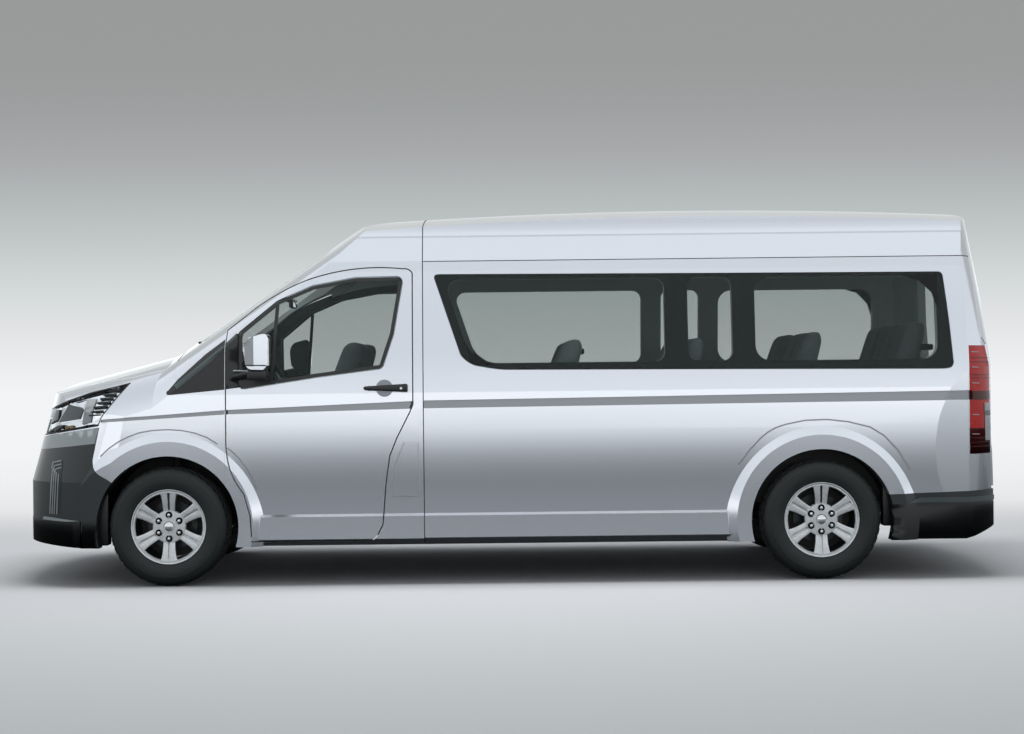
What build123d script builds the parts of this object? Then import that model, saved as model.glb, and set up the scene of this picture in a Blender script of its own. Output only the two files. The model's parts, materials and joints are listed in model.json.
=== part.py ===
from build123d import *
import math
import os

# High-roof, long-wheelbase minibus, left-hand drive.
# Millimetres.  +X is forwards, +Y is the vehicle's left side, +Z is up.
# The origin is on the ground, midway along the overall length.

# ---------------------------------------------------------------- driving sizes
OVERALL_LENGTH = 5915
BODY_HALF_WIDTH = 957        # widest point of the body side, below the waist groove
ROOF_TOP = 2256              # crown of the roof at its middle
SILL_BOTTOM = 232
WHEELBASE = 3860
FRONT_AXLE_X = 1997.5
REAR_AXLE_X = FRONT_AXLE_X - WHEELBASE
WHEEL_RADIUS = 352
TYRE_WIDTH = 235
TRACK = 1674
WALL = 60                    # body walls, doors and roof, outer skin to inner trim
LID_WALL = 36                # bonnet
PANEL_GAP = 7                # shut line round each door and lid
BONNET_GAP = 10
EDGE_STEP = 9                # how far a door's inner edge is set in, so that it swings clear
SEAM = 0.4                   # joint between two fixed panels
GLASS = 5
SEAT_GAP = 0.3               # running or seating clearance between pieces that bear

FRONT_X = OVERALL_LENGTH / 2
REAR_X = -OVERALL_LENGTH / 2
SIDE = BODY_HALF_WIDTH


# ---------------------------------------------------------------- outline helpers
def outline(*steps):
    """Closed face: each step is a corner, or a pair (through, corner) for an arc."""
    edges = []
    here = steps[0]
    for step in steps[1:]:
        if isinstance(step[0], tuple):
            through, there = step
            edges.append(ThreePointArc(here, through, there))
        else:
            there = step
            edges.append(Line(here, there))
        here = there
    if here != steps[0]:
        edges.append(Line(here, steps[0]))
    return make_face(edges)


def grown(face, amount):
    """The face with its edge moved out by amount (in, if negative)."""
    return offset(face, amount, kind=Kind.ARC) if amount else face


def across(face, y_from, y_to, taper=0):
    """A face drawn in (x, z), pulled from y_from to y_to."""
    start = Plane((0, y_from, 0), x_dir=(1, 0, 0), z_dir=(0, -1, 0))
    return extrude(start * face, amount=y_from - y_to, taper=taper)


def along(face, x_from, x_to):
    """A face drawn in (y, z), pulled from x_from to x_to."""
    start = Plane((x_from, 0, 0), x_dir=(0, 1, 0), z_dir=(1, 0, 0))
    return extrude(start * face, amount=x_to - x_from)


def upright(face, z_from, z_to):
    """A face drawn in (x, y), pulled from z_from to z_to."""
    return extrude(Plane.XY.offset(z_from) * face, amount=z_to - z_from)


def box(x_from, x_to, y_from, y_to, z_from, z_to):
    middle = ((x_from + x_to) / 2, (y_from + y_to) / 2, (z_from + z_to) / 2)
    return Pos(*middle) * Box(x_to - x_from, y_to - y_from, z_to - z_from)


def rod(start, end, radius):
    """A round bar between two points."""
    axis = Vector(*end) - Vector(*start)
    plane = Plane(origin=start, z_dir=axis)
    return extrude(plane * Circle(radius), amount=axis.length)


def mirrored(shape):
    """The same piece on the other side of the vehicle."""
    return mirror(shape, about=Plane.XZ)


def both_sides(shape):
    return shape + mirrored(shape)


# ---------------------------------------------------------------- body hull
FAR = 3400                   # past every end of the body
BELOW_ALL = -40

# Half section of the body side, (half-width, height), from sill to roof shoulder.
SILL_TUCK = (SIDE - 42, SILL_BOTTOM)
SILL_EDGE = (SIDE - 12, SILL_BOTTOM + 30)
LOWER_SIDE = (SIDE - 6, 420)
MIDDLE_SIDE = (SIDE, 760)
WAIST = (SIDE - 7, 1130)
WINDOW_MIDDLE = (SIDE - 38, 1490)
WINDOW_TOP = (SIDE - 85, 1850)
GUTTER = (SIDE - 91, 1911)
ROOF_CREASE = (SIDE - 137, 2052)
ROOF_STEP = (SIDE - 147, 2064)
SHOULDER = (SIDE - 192, 2150)
CROWN_EDGE = (SIDE - 317, 2212)
CROWN_RISE = (0, 2330)

ROOF_ARC_X = -1141           # highest station of the roof
ROOF_LONG_RADIUS = 32000     # roof bow along the vehicle
ROOF_CROSS_RADIUS = 3300     # roof bow across

NOSE_LEAN_FROM = 620         # height above which the nose leans back
NOSE_LEAN = (-132, 460)      # (dx, dz) of the leaning nose
TAIL_LEAN_FROM = 1050
TAIL_LEAN = (75, 930)
TAIL_CORNER_FROM = 1250      # height above which the rear corners lean in further
TAIL_CORNER_LEAN = (150, 750)

SCREEN_BASE = (1951, 1441)   # windscreen surface at the middle, (x, z)
SCREEN_RISE = (-782, 535)    # its run up to the roof, (dx, dz)
BONNET_REAR = (1951, 1400)
BONNET_RISE = (-350, 90)


def section_face(inset, open_below):
    """Body section without the roof crown, (y, z), with each side moved in by inset."""
    def left(point):
        return (point[0] - inset, point[1])

    def right(point):
        return (inset - point[0], point[1])

    rising = [(WAIST, MIDDLE_SIDE), (WINDOW_TOP, WINDOW_MIDDLE)]
    foot = (SILL_EDGE[0], BELOW_ALL) if open_below else SILL_TUCK
    up = [left(foot), left(SILL_EDGE), left(LOWER_SIDE)]
    up += [(left(through), left(top)) for top, through in rising]
    up += [left(GUTTER), left(ROOF_CREASE), left(ROOF_STEP), (left(SHOULDER), left(CROWN_EDGE)), CROWN_RISE]
    down = [right(CROWN_EDGE), (right(SHOULDER), right(ROOF_STEP)), right(ROOF_CREASE), right(GUTTER),
            right(WINDOW_TOP), (right(WINDOW_MIDDLE), right(WAIST)),
            (right(MIDDLE_SIDE), right(LOWER_SIDE)), right(SILL_EDGE), right(foot)]
    return outline(*up, *down)


def crown_face():
    """Roof crown across the body, (y, z)."""
    edge_drop = ROOF_CROSS_RADIUS - math.sqrt(ROOF_CROSS_RADIUS ** 2 - 1100 ** 2)
    return outline((-1100, 0), (1100, 0), (1100, ROOF_TOP - edge_drop),
                   ((0, ROOF_TOP), (-1100, ROOF_TOP - edge_drop)))


def side_face(open_below):
    """Middle section of the body, (x, z): nose, roof front and tail edges."""
    belly = [(FRONT_X, 330), (2890, 262), (2436, 225), (-2700, 225), (REAR_X + 25, 303), (REAR_X, 330)]
    if open_below:
        belly = [(FRONT_X, BELOW_ALL), (REAR_X, BELOW_ALL)]
    return outline(
        (REAR_X, 1000), (-2895, 2040), ((-2868, 2160), (-2770, 2225)),
        (-2300, 2330), (400, 2330), (523, 2216), ((911, 2119), (1297, 1893)),
        (1500, 1790), (2300, 1420), (2560, 1247), ((2735, 1163), (2828, 1065)),
        (FRONT_X, NOSE_LEAN_FROM), *belly)


def plan_face():
    """Body outline seen from above, (x, y)."""
    nose = [((FRONT_X, 0), (2889, 600)), ((2752, 810), (2450, 940)), (2150, SIDE + 30)]
    tail = [(-2150, SIDE + 30), (-2560, SIDE - 2), (-2800, SIDE - 17), ((-2890, 895), (-2917, 760)),
            ((REAR_X, 0), (-2917, -760))]
    back = [((-2890, -895), (-2800, 17 - SIDE)), (-2560, 2 - SIDE), (-2150, -SIDE - 30),
            (2150, -SIDE - 30), (2450, -940)]
    return outline((2889, -600), *nose, *tail, *back, ((2752, -810), (2889, -600)))


def tail_corner_face():
    """Rounder rear corners, seen from above, (x, y), open towards the front."""
    left = (-2640, 975), ((-2865, 850), (-2985, 560))
    right = (-2985, -560), ((-2865, -850), (-2640, -975))
    return outline(*left, *right, (500, -1000), (500, 1000))


def leaning_prism(face, z_from, lean):
    """The plan outline pulled up along a leaning line, and straight down below z_from."""
    reach = 2400 / lean[1]
    shear = Vector(lean[0], 0, lean[1])
    above = extrude(Plane.XY.offset(z_from) * face, amount=shear.length * reach, dir=shear)
    return above + upright(face, -50, z_from)


SCREEN_CROWN = ((740, 75), (888, 150), (975, 330))
BONNET_CROWN = ((620, 55), (850, 150), (975, 430))


def crowned_prism(base, rise, points, inset):
    """Everything under a crowned surface that rises along a line; points are (half-width, drop)."""
    direction = Vector(rise[0], 0, rise[1]).normalized()
    plane = Plane(origin=(base[0], 0, base[1]), x_dir=(0, 1, 0), z_dir=direction)
    (edge_y, edge_drop), (bend_y, bend_drop), (side_y, side_drop) = points
    half = [((edge_y, edge_drop + inset)),
            ((bend_y - 0.7 * inset, bend_drop + 0.7 * inset), (side_y - inset, side_drop)),
            (side_y - inset, FAR), (inset - side_y, FAR), (inset - side_y, side_drop),
            ((0.7 * inset - bend_y, bend_drop + 0.7 * inset), (-edge_y, edge_drop + inset))]
    face = outline((-edge_y, edge_drop + inset), ((0, inset), half[0]), *half[1:])
    return extrude(plane * face, amount=FAR * 1.5, both=True)


def hull(inset, open_below=False):
    """The body's outer form, with every surface moved in by inset."""
    body = along(section_face(inset, open_below), -FAR, FAR)
    body &= across(grown(side_face(open_below), -inset), -FAR, FAR)

    crown = Plane((ROOF_ARC_X, 0, -inset), x_dir=(0, 1, 0), z_dir=(1, 0, 0)) * crown_face()
    axis = Axis((ROOF_ARC_X, 0, ROOF_TOP - ROOF_LONG_RADIUS), (0, 1, 0))
    body &= revolve(crown.rotate(axis, -9), axis, revolution_arc=18)

    plan = grown(plan_face(), -inset)
    body &= leaning_prism(plan, TAIL_LEAN_FROM, TAIL_LEAN) + box(0, FAR, -FAR, FAR, -60, FAR)
    body &= leaning_prism(plan, NOSE_LEAN_FROM, NOSE_LEAN) + box(-FAR, 0, -FAR, FAR, -60, FAR)
    corners = grown(tail_corner_face(), -inset)
    body &= leaning_prism(corners, TAIL_CORNER_FROM, TAIL_CORNER_LEAN) + box(0, FAR, -FAR, FAR, -60, FAR)

    under_screen = crowned_prism(SCREEN_BASE, SCREEN_RISE, SCREEN_CROWN, inset)
    under_bonnet = crowned_prism(BONNET_REAR, BONNET_RISE, BONNET_CROWN, inset)
    return body & (under_screen + under_bonnet)


# ---------------------------------------------------------------- body surface features
ARCH_RADIUS = 420
FLARE_RADIUS = 572           # where the wheel-arch flare meets the body side
FLARE_LIP_RADIUS = 505       # where it turns flat round the opening
FLARE_PROUD = 20
SILL_PROUD = 12
GROOVE_DEPTH = 10
AXLE_STATIONS = (FRONT_AXLE_X, REAR_AXLE_X)

# Waist groove: x, lower edge z, upper edge z.
GROOVE = ((-2760, 1053, 1108), (474, 1037, 1083), (1638, 1014, 1040), (2392, 973, 990))


def wheel_disc(x, radius, y_from, y_to):
    """A round block across the vehicle, centred on an axle."""
    return across(Pos(x, WHEEL_RADIUS) * Circle(radius), y_from, y_to)


def flare(x):
    """Left-hand wheel-arch flare."""
    root = Plane((x, SIDE - 8, WHEEL_RADIUS), x_dir=(1, 0, 0), z_dir=(0, 1, 0))
    drop = FLARE_PROUD + 8
    cone = loft([root * Circle(FLARE_RADIUS), root.offset(drop) * Circle(FLARE_LIP_RADIUS)])
    return cone & box(x - FAR, x + FAR, 0, FAR, SILL_BOTTOM, FAR)


def groove_face():
    return outline(*[(x, low) for x, low, high in GROOVE], *[(x, high) for x, low, high in reversed(GROOVE)])


def sill_step():
    """Left-hand raised sill between the wheels."""
    face = outline((-1335, SILL_BOTTOM + 20), (-1318, 425), (1466, 425), (1490, SILL_BOTTOM + 20))
    return across(face, SIDE - 12, SIDE - 12 + SILL_PROUD + 8, taper=45)


def outer_form(groove_floor):
    """The hull with its flares, sills, waist groove and wheel openings."""
    body = hull(0)
    limits = upright(grown(plan_face(), FLARE_PROUD - 2), -60, FAR)
    for x in AXLE_STATIONS:
        body += both_sides(flare(x) & limits)
    body += both_sides(sill_step())
    groove = across(groove_face(), -FAR, FAR)
    body -= groove - groove_floor
    for x in AXLE_STATIONS:
        body -= both_sides(wheel_disc(x, ARCH_RADIUS, SIDE - 300, FAR))
    return body


# ---------------------------------------------------------------- panel outlines
# Side outlines are in (x, z).  An arc step is (through, corner).
ROOF_SEAM_X = 487            # seam between the cab and the passenger body
GUTTER_SEAM_Z = GUTTER[1]
DOOR_OUTLINE = ((1650, 1512), (1650, 834), ((1604, 640), (1545, 545)), (1508, 412), (1500, 262),
                (790, 262), (765, 285), (728, 356), (708, 600), (684, 760), (640, 868), (563, 1017),
                (545, 1060), (545, 1839), ((566, 1860), (603, 1866)), ((1100, 1826), (1470, 1654)))
DOOR_WINDOW = ((1560, 1172), (1120, 1238), (733, 1286), (668, 1480), (612, 1806), (880, 1802),
               (1130, 1757), (1340, 1668), (1560, 1488))
DOOR_WINDOW_CORNER = 24
GARNISH = ((1656, 1160), (1985, 1131), ((1998, 1136), (1990, 1158)), (1935, 1224), (1778, 1368), (1656, 1458))
WINDOW_BAND = ((413, 1800), (262, 1348), ((200, 1296), (110, 1274)), ((30, 1261), (-40, 1258)),
               (-2590, 1238), ((-2636, 1246), (-2650, 1290)), ((-2630, 1550), (-2606, 1790)),
               ((-2596, 1808), (-2570, 1814)), (383, 1830), ((410, 1824), (413, 1800)))
# Clear panes: rear x, front x, sill z, head z, corner radius.
PANES = ((-948, 300, 1299, 1796, 60),
         (-1348, -1086, 1300, 1796, 55),
         (-2560, -1484, 1297, 1790, 90))
WINDOW_SPLIT_X = -1010
SLIDING_DOOR_REAR_X = -1010
SLIDING_DOOR_FRONT_X = 470
SLIDING_DOOR_SILL = 270

FENDER_TOP = ((1656, FAR), (1656, 1160), (1985, 1131), (1935, 1224), (1965, 1240), (1958, FAR))
BONNET_REAR_X = 1962
BONNET_FRONT_X = 2806
BONNET_LIP_Z = 985           # lower edge of the bonnet, over the grille
BONNET_SIDE = ((BONNET_REAR_X, 770), (2235, 752), (2520, 668), (2700, 585))   # (x, y) shut line

HEADLAMP = ((2239, 1206), (2384, 1003), (2406, 951), (2850, 884), (2960, 1020), (2765, 1052), (2480, 1150))
HEADLAMP_INNER_Y = 500
BUMPER_REAR = ((2400, 944), (2436, 775), ((2432, 706), (2402, 668)), (2333, 628), (2200, 520), (2200, 0),
               (3100, 0), (3100, 844))
GRILLE_HALF_WIDTH = 500
GRILLE_BOTTOM = 652
GRILLE_TOP = 880

TAIL_LAMP = ((-2742, 1373), (-2742, 732), (-3100, 732), (-3100, 1373))
TAIL_LAMP_INNER_Y = 818
REAR_BUMPER = ((-2235, 0), (-2235, 500), (-3100, 524), (-3100, 0))
TAILGATE_HALF = ((804, 530), (804, 1380), (838, 1420), (772, 2000), (690, 2098), (400, 2134))
TAILGATE_WINDOW = ((650, 1310), (640, 1560), (590, 1830), (540, 1862))
FLAP_THICK = 14
GRILLE_BARS = 6
GLASS_LAP = 18               # how far a pane laps its opening
SCREEN_LAP = 24
GLASS_CLEAR = 2              # gap round the edge of a pane
FLANGE_LAP = 26              # how far a door flange laps the door's edge
FLANGE_THICK = 12
FRAME_FOOT_Z = 285           # lowest edge of the inner frames
FRAME_INNER_Y = 700          # nearest that a door's frame comes to the middle
PILLAR_FROM_X = 1190         # the door's frame stops short of the windscreen pillar, whose place
PILLAR_FROM_Z = 1380         # the door itself fills and sweeps through as it opens
PILLAR_TO_Y = 880
GATE_FRAME_TOP = 2020        # the tailgate's frame ends below its hinge line
FUEL_FLAP = ((515, 520), (670, 520), (655, 700), (600, 835), (515, 835))


def gapped(shape_face, amount):
    """An outline moved out (or in, if negative) to leave a shut line."""
    straight = all(edge.geom_type == GeomType.LINE for edge in shape_face.edges())
    return offset(shape_face, amount, kind=Kind.INTERSECTION if straight else Kind.ARC)


def plate_plinth():
    """Flat block on the bumper that carries a blank number plate."""
    return box(FRONT_X - 30, FRONT_X, -270, 270, 440, 610)


def grille(skin):
    """Toothed bars in a frame, cut from the nose's skin."""
    frame = skin - box(2300, FAR, 40 - GRILLE_HALF_WIDTH, GRILLE_HALF_WIDTH - 40, GRILLE_BOTTOM + 30, GRILLE_TOP)
    core = skin - box(2300, FAR, -FAR, FAR, 0, GRILLE_BOTTOM + 30) - box(2300, FAR, -FAR, FAR, GRILLE_TOP, FAR)
    pitch = (GRILLE_TOP - GRILLE_BOTTOM - 30) / GRILLE_BARS
    for number in range(GRILLE_BARS):
        low = GRILLE_BOTTOM + 30 + (number + 0.3) * pitch
        bar = core & box(2300, FAR, -FAR, FAR, low, low + pitch * 0.4)
        frame += bar
    return frame


def pane_face(rear_x, front_x, sill_z, head_z, corner):
    """One clear pane; the front one leans along the band's slanted edge."""
    lean = 0 if front_x < 0 else 110
    corners = [(rear_x, sill_z), (front_x - lean, sill_z), (front_x + lean / 2, head_z), (rear_x, head_z)]
    face = make_face(Polyline(*corners, close=True))
    return fillet(face.vertices(), corner)


def mirror_face_y(points):
    """A face symmetrical about y = 0 from its right-hand half, bottom to top, (y, z)."""
    return make_face(Polyline(*points, *[(-y, z) for y, z in reversed(points)], close=True))


def bonnet_face():
    left = BONNET_SIDE + ((BONNET_FRONT_X + 60, 480),)
    return make_face(Polyline(*left, *[(x, -y) for x, y in reversed(left)], close=True))


SCREEN_PLANE = Plane(origin=(SCREEN_BASE[0], 0, SCREEN_BASE[1]), x_dir=(0, 1, 0),
                     z_dir=(SCREEN_RISE[1], 0, -SCREEN_RISE[0]))


def screen_face(grow):
    face = outline((-712, 105), ((0, 70), (712, 105)), (640, 1010), ((0, 1050), (-640, 1010)))
    return gapped(fillet(face.vertices(), 60), grow) if grow else fillet(face.vertices(), 60)


def screen_prism(grow):
    return extrude(SCREEN_PLANE * screen_face(grow), amount=300, both=True)


# ---------------------------------------------------------------- running gear sizes
FLOOR_TOP = 560
FLOOR_THICK = 60
CABIN_HALF = SIDE - WALL + 10
REAR_WALL_X = REAR_X + WALL + 3
BULKHEAD_X = 1950
BULKHEAD_TOP = 1290
POST_Y = (380, 430)          # sides of the bonnet's hinge post
POST_FRONT_X = 2000
LINER = 14
FRONT_HOUSE_Y = 505          # inner wall of a front wheel housing
REAR_HOUSE_Y = 690
RAIL_Y = 430
RAIL_WIDE = 60
RAIL_BOTTOM = 440
BEAD_RADIUS = 203
RIM_RADIUS = 222
KING_PIN_LOW = (770, 236)    # (y, z) of the ball joint
STRUT_RADIUS = 27
KING_PIN_TOP = (640, WHEEL_RADIUS + ARCH_RADIUS - STRUT_RADIUS - 0.8)
BALL_SEAT = -6               # end of the ball stud, along the king pin's line
DISC_RADIUS = 138
BALL_STUD_RADIUS = 12


def wheel_house(x, inner_y):
    """Left-hand wheel housing: a half drum closed on its inner side."""
    outer_y = SIDE - WALL - 2
    drum = wheel_disc(x, ARCH_RADIUS + LINER, inner_y, outer_y)
    drum -= wheel_disc(x, ARCH_RADIUS, inner_y + LINER, outer_y + 10)
    return drum & box(x - FAR, x + FAR, 0, FAR, RAIL_BOTTOM, FAR)


def bonnet_post():
    """Left-hand hinge post of the bonnet, on the bulkhead, up to the bonnet's underside."""
    foot = box(BULKHEAD_X - 30, POST_FRONT_X, *POST_Y, 1262, BULKHEAD_TOP)
    post = box(BONNET_REAR_X + 4, POST_FRONT_X, *POST_Y, 1262, FAR)
    return foot + (post & hull(LID_WALL + SEAT_GAP, open_below=True))


def floor_pan(cabin):
    """Floor, front bulkhead, wheel housings and chassis rails."""
    plate = box(REAR_WALL_X, BULKHEAD_X, -CABIN_HALF, CABIN_HALF, FLOOR_TOP - FLOOR_THICK, FLOOR_TOP)
    bulkhead = box(BULKHEAD_X - 30, BULKHEAD_X, -CABIN_HALF, CABIN_HALF, FLOOR_TOP - 20, BULKHEAD_TOP)
    rails = both_sides(box(-2860, 2760, RAIL_Y - RAIL_WIDE / 2, RAIL_Y + RAIL_WIDE / 2,
                           RAIL_BOTTOM, FLOOR_TOP - FLOOR_THICK + 1))
    pan = plate + bulkhead + rails
    for x, inner_y in ((FRONT_AXLE_X, FRONT_HOUSE_Y), (REAR_AXLE_X, REAR_HOUSE_Y)):
        pan -= both_sides(wheel_disc(x, ARCH_RADIUS + 2, inner_y + LINER, FAR))
        pan += both_sides(wheel_house(x, inner_y))
        pan -= both_sides(wheel_disc(x, ARCH_RADIUS, inner_y + LINER, FAR))
    return (pan & cabin) + both_sides(bonnet_post())


def tyre(y_middle, x):
    """A tyre: rounded shoulders, bowed side walls, seated on the rim's beads."""
    half = TYRE_WIDTH / 2
    profile = [(BEAD_RADIUS, -RIM_HALF + SEAT_GAP), (RIM_RADIUS + 1, -RIM_HALF + SEAT_GAP),
               (RIM_RADIUS + 5, -RIM_HALF - 9), (BEAD_RADIUS + 62, -half),
               (WHEEL_RADIUS - 34, -half + 8), (WHEEL_RADIUS - 10, -half + 22), (WHEEL_RADIUS, -half + 44)]
    profile += [(r, -y) for r, y in reversed(profile)]
    return lathe(profile, x, y_middle)


def lathe(profile, x, y_middle):
    """Revolve a (radius, y) profile about a wheel's axis."""
    plane = Plane((x, y_middle, WHEEL_RADIUS), x_dir=(1, 0, 0), z_dir=(0, 0, 1))
    face = plane * make_face(Polyline(*profile, close=True))
    return revolve(face, Axis((x, y_middle, WHEEL_RADIUS), (0, 1, 0)))


RIM_HALF = 94                # half the width between the rim's flanges
RIM_PROFILE = ((BEAD_RADIUS, -RIM_HALF), (RIM_RADIUS, -RIM_HALF), (RIM_RADIUS, -RIM_HALF - 7),
               (BEAD_RADIUS - 10, -RIM_HALF - 7), (BEAD_RADIUS - 22, -60), (BEAD_RADIUS - 22, 60),
               (BEAD_RADIUS - 12, RIM_HALF + 2), (BEAD_RADIUS - 6, RIM_HALF + 7), (RIM_RADIUS, RIM_HALF + 7),
               (RIM_RADIUS, RIM_HALF), (BEAD_RADIUS, RIM_HALF))
HUB_FACE = 40                # wheel mounting face, outboard of the tyre's middle
SPOKES = 6


def rim(y_middle, x):
    """Cast wheel with six spokes, its hub and its brake disc (left-hand side)."""
    barrel = lathe([(r - SEAT_GAP, y) for r, y in RIM_PROFILE], x, y_middle)
    hub = lathe([(0, HUB_FACE), (95, HUB_FACE), (92, HUB_FACE + 28), (70, HUB_FACE + 40), (36, HUB_FACE + 30),
                 (0, HUB_FACE + 34)], x, y_middle)
    hat = lathe([(0, HUB_FACE - 60), (75, HUB_FACE - 60), (75, HUB_FACE + 1), (0, HUB_FACE + 1)], x, y_middle)
    disc = lathe([(60, HUB_FACE - 60), (DISC_RADIUS, HUB_FACE - 60), (DISC_RADIUS, HUB_FACE - 36),
                  (60, HUB_FACE - 36)], x, y_middle)
    spoke_face = Polyline((HUB_FACE + 6, 60), (HUB_FACE + 30, 60), (HUB_FACE + 40, 100), (98, 196),
                          (70, 198), (HUB_FACE + 12, 100), close=True)
    plane = Plane((x, y_middle, WHEEL_RADIUS), x_dir=(0, 1, 0), z_dir=(1, 0, 0))
    blade = extrude(plane * make_face(spoke_face), amount=40, both=True)
    centre = Axis((x, y_middle, WHEEL_RADIUS), (0, 1, 0))
    wheel = barrel + hub + hat + disc
    for number in range(SPOKES):
        wheel += blade.rotate(centre, number * 360 / SPOKES)
    return wheel


def on_king_pin(distance):
    """A point of the left-hand king pin's line, at a distance above its ball joint."""
    low, top = (Vector(FRONT_AXLE_X, *end) for end in (KING_PIN_LOW, KING_PIN_TOP))
    return tuple(low + (top - low).normalized() * distance)


def knuckle():
    """Left-hand upright with its strut, steering arm and ball-joint stud."""
    x = FRONT_AXLE_X
    hub_y = TRACK / 2 + HUB_FACE - 60 - SEAT_GAP
    low_y = KING_PIN_LOW[0]
    top_y, top_z = KING_PIN_TOP
    upright_block = box(x - 42, x + 42, 712, 742, 262, 452)
    spindle = across(Pos(x, WHEEL_RADIUS) * Circle(58), 735, hub_y)
    arm = box(x - 30, x + 30, 730, low_y + 24, 262, 286)
    stud = rod(on_king_pin(BALL_SEAT), on_king_pin(34), BALL_STUD_RADIUS)
    strut = rod((x, 694, 420), (x, top_y, top_z), STRUT_RADIUS) + Pos(x, top_y, top_z) * Sphere(STRUT_RADIUS)
    clamp = box(x - 34, x + 34, 676, 716, 408, 448)
    track_arm = box(x - 160, x - 20, 712, 738, 300, 326)
    return upright_block + spindle + arm + stud + strut + clamp + track_arm


def front_suspension():
    """Cross member with its lower arms, each ending in the cup of a ball joint."""
    x = FRONT_AXLE_X
    low_y, low_z = KING_PIN_LOW
    member = box(x - 95, x + 95, -360, 360, 250, 330)
    posts = both_sides(box(x - 60, x + 60, RAIL_Y - 28, RAIL_Y + 28, 300, RAIL_BOTTOM - SEAT_GAP))
    bridge = box(x - 60, x + 60, -RAIL_Y - 28, RAIL_Y + 28, 300, 326)
    arm = make_face(Polyline((x - 80, 340), (x + 80, 340), (x + 26, low_y + 10), (x - 26, low_y + 10), close=True))
    arm = upright(arm, low_z - 22, low_z + 4)
    cup = upright(Pos(x, low_y) * Circle(34), low_z - 26, low_z + 4)
    left = arm + cup - rod(on_king_pin(BALL_SEAT - SEAT_GAP), on_king_pin(60), BALL_STUD_RADIUS + SEAT_GAP)
    left += box(x - 80, x + 80, 320, 350, 214, 320)
    return member + posts + bridge + both_sides(left)


def rear_axle():
    x = REAR_AXLE_X
    hub_y = TRACK / 2 + HUB_FACE - 60 - SEAT_GAP
    tube = across(Pos(x, WHEEL_RADIUS) * Circle(42), -hub_y + 1, hub_y - 1)
    case = lathe([(0, -150), (70, -140), (128, -80), (140, 0), (128, 80), (70, 140), (0, 150)], x, 0)
    nose = rod((x, 0, WHEEL_RADIUS), (x + 230, 0, WHEEL_RADIUS + 8), 60)
    plates = both_sides(across(Pos(x, WHEEL_RADIUS) * Circle(70), 725, hub_y))
    return tube + case + nose + plates


LEAF_Y = 540
LEAF_WIDE = 62


def leaf_spring():
    """Left-hand spring pack under the axle, with its front eye bracket and rear shackle."""
    x = REAR_AXLE_X
    under = WHEEL_RADIUS - 42 - SEAT_GAP
    main = outline((x - 690, 352), ((x, under - 26), (x + 690, 352)), (x + 690, 362),
                   ((x, under - 14), (x - 690, 362)))
    second = outline((x - 430, 322), ((x, under - 40), (x + 430, 322)), (x + 430, 334),
                     ((x, under - 14), (x - 430, 334)))
    pad = make_face(Polyline((x - 60, under - 30), (x + 60, under - 30), (x + 60, under), (x - 60, under), close=True))
    pack = Sketch() + [main, second, pad]
    pack = across(pack, LEAF_Y - LEAF_WIDE / 2, LEAF_Y + LEAF_WIDE / 2)
    hangers = []
    for side in (-1, 1):
        hangers.append(box(x + side * 690 - 30, x + side * 690 + 30, LEAF_Y - 36, LEAF_Y + 36,
                           344, FLOOR_TOP - FLOOR_THICK - SEAT_GAP))
    return pack + hangers[0] + hangers[1]


def seat(back_x, y_from, y_to, places):
    """A bench facing forwards: base, cushion, leaning back and one head restraint a place."""
    width = y_to - y_from
    low = FLOOR_TOP + SEAT_GAP
    base = box(back_x + 120, back_x + 480, y_from + 40, y_to - 40, low, 860)
    cushion_face = outline((back_x + 60, 850), (back_x + 560, 870), ((back_x + 585, 905), (back_x + 555, 950)),
                           (back_x + 120, 935), (back_x + 70, 930))
    back_face = outline((back_x + 20, 870), (back_x + 160, 880), (back_x + 60, 1340), ((back_x, 1385), (back_x - 60, 1340)))
    bench = base + across(cushion_face, y_from, y_to) + across(back_face, y_from, y_to)
    for number in range(places):
        middle = y_from + (number + 0.5) * width / places
        head_face = outline((back_x - 75, 1350), (back_x + 25, 1350), (back_x - 10, 1480),
                            ((back_x - 50, 1500), (back_x - 85, 1470)))
        bench += across(head_face, middle - 120, middle + 120)
    return bench


ROW_BACKS = (-330, -1060, -1800, -2440)
LEFT_BENCH = (40, 850)
RIGHT_SEAT = (-850, -420)


def passenger_seats():
    benches = []
    for number, back_x in enumerate(ROW_BACKS):
        last = number == len(ROW_BACKS) - 1
        limit = 660 if abs(back_x + 300 - REAR_AXLE_X) < 560 else 850
        if last:
            benches.append(seat(back_x, -640, 640, 3))
        else:
            benches.append(seat(back_x, LEFT_BENCH[0], limit, 2))
            benches.append(seat(back_x, -limit, RIGHT_SEAT[1] + 190, 1))
    return Compound(children=[part.solid() for part in benches])


def front_seats():
    driver = seat(1010, 170, 690, 1)
    mate = seat(1010, -690, -170, 1)
    return Compound(children=[driver.solid(), mate.solid()])


STEER_HUB = (1395, 430, 1215)
STEER_RADIUS = 190
GRIP_RADIUS = 15.5
STEER_LEAN = 32              # degrees the column rises towards the driver
STEER_AXIS = (-math.cos(math.radians(STEER_LEAN)), 0, math.sin(math.radians(STEER_LEAN)))


def steering_wheel():
    plane = Plane(origin=STEER_HUB, x_dir=(0, 1, 0), z_dir=STEER_AXIS)
    cut = Plane(origin=STEER_HUB, x_dir=plane.x_dir, z_dir=plane.y_dir)
    grip = cut * (Pos(STEER_RADIUS - GRIP_RADIUS, 0) * RegularPolygon(GRIP_RADIUS, 10))
    ring = revolve(grip, Axis(STEER_HUB, STEER_AXIS))
    boss = extrude(plane * Circle(62), amount=-50)
    spokes = extrude(plane * (Rectangle(2 * STEER_RADIUS - 30, 34) + Pos(0, -85) * Rectangle(34, 170)), amount=-18)
    spokes += extrude(plane * Circle(62), amount=-40)
    shaft_end = Vector(*STEER_HUB) - Vector(*STEER_AXIS) * 130
    return ring + boss + spokes + rod(tuple(shaft_end), STEER_HUB, 20)


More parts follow.
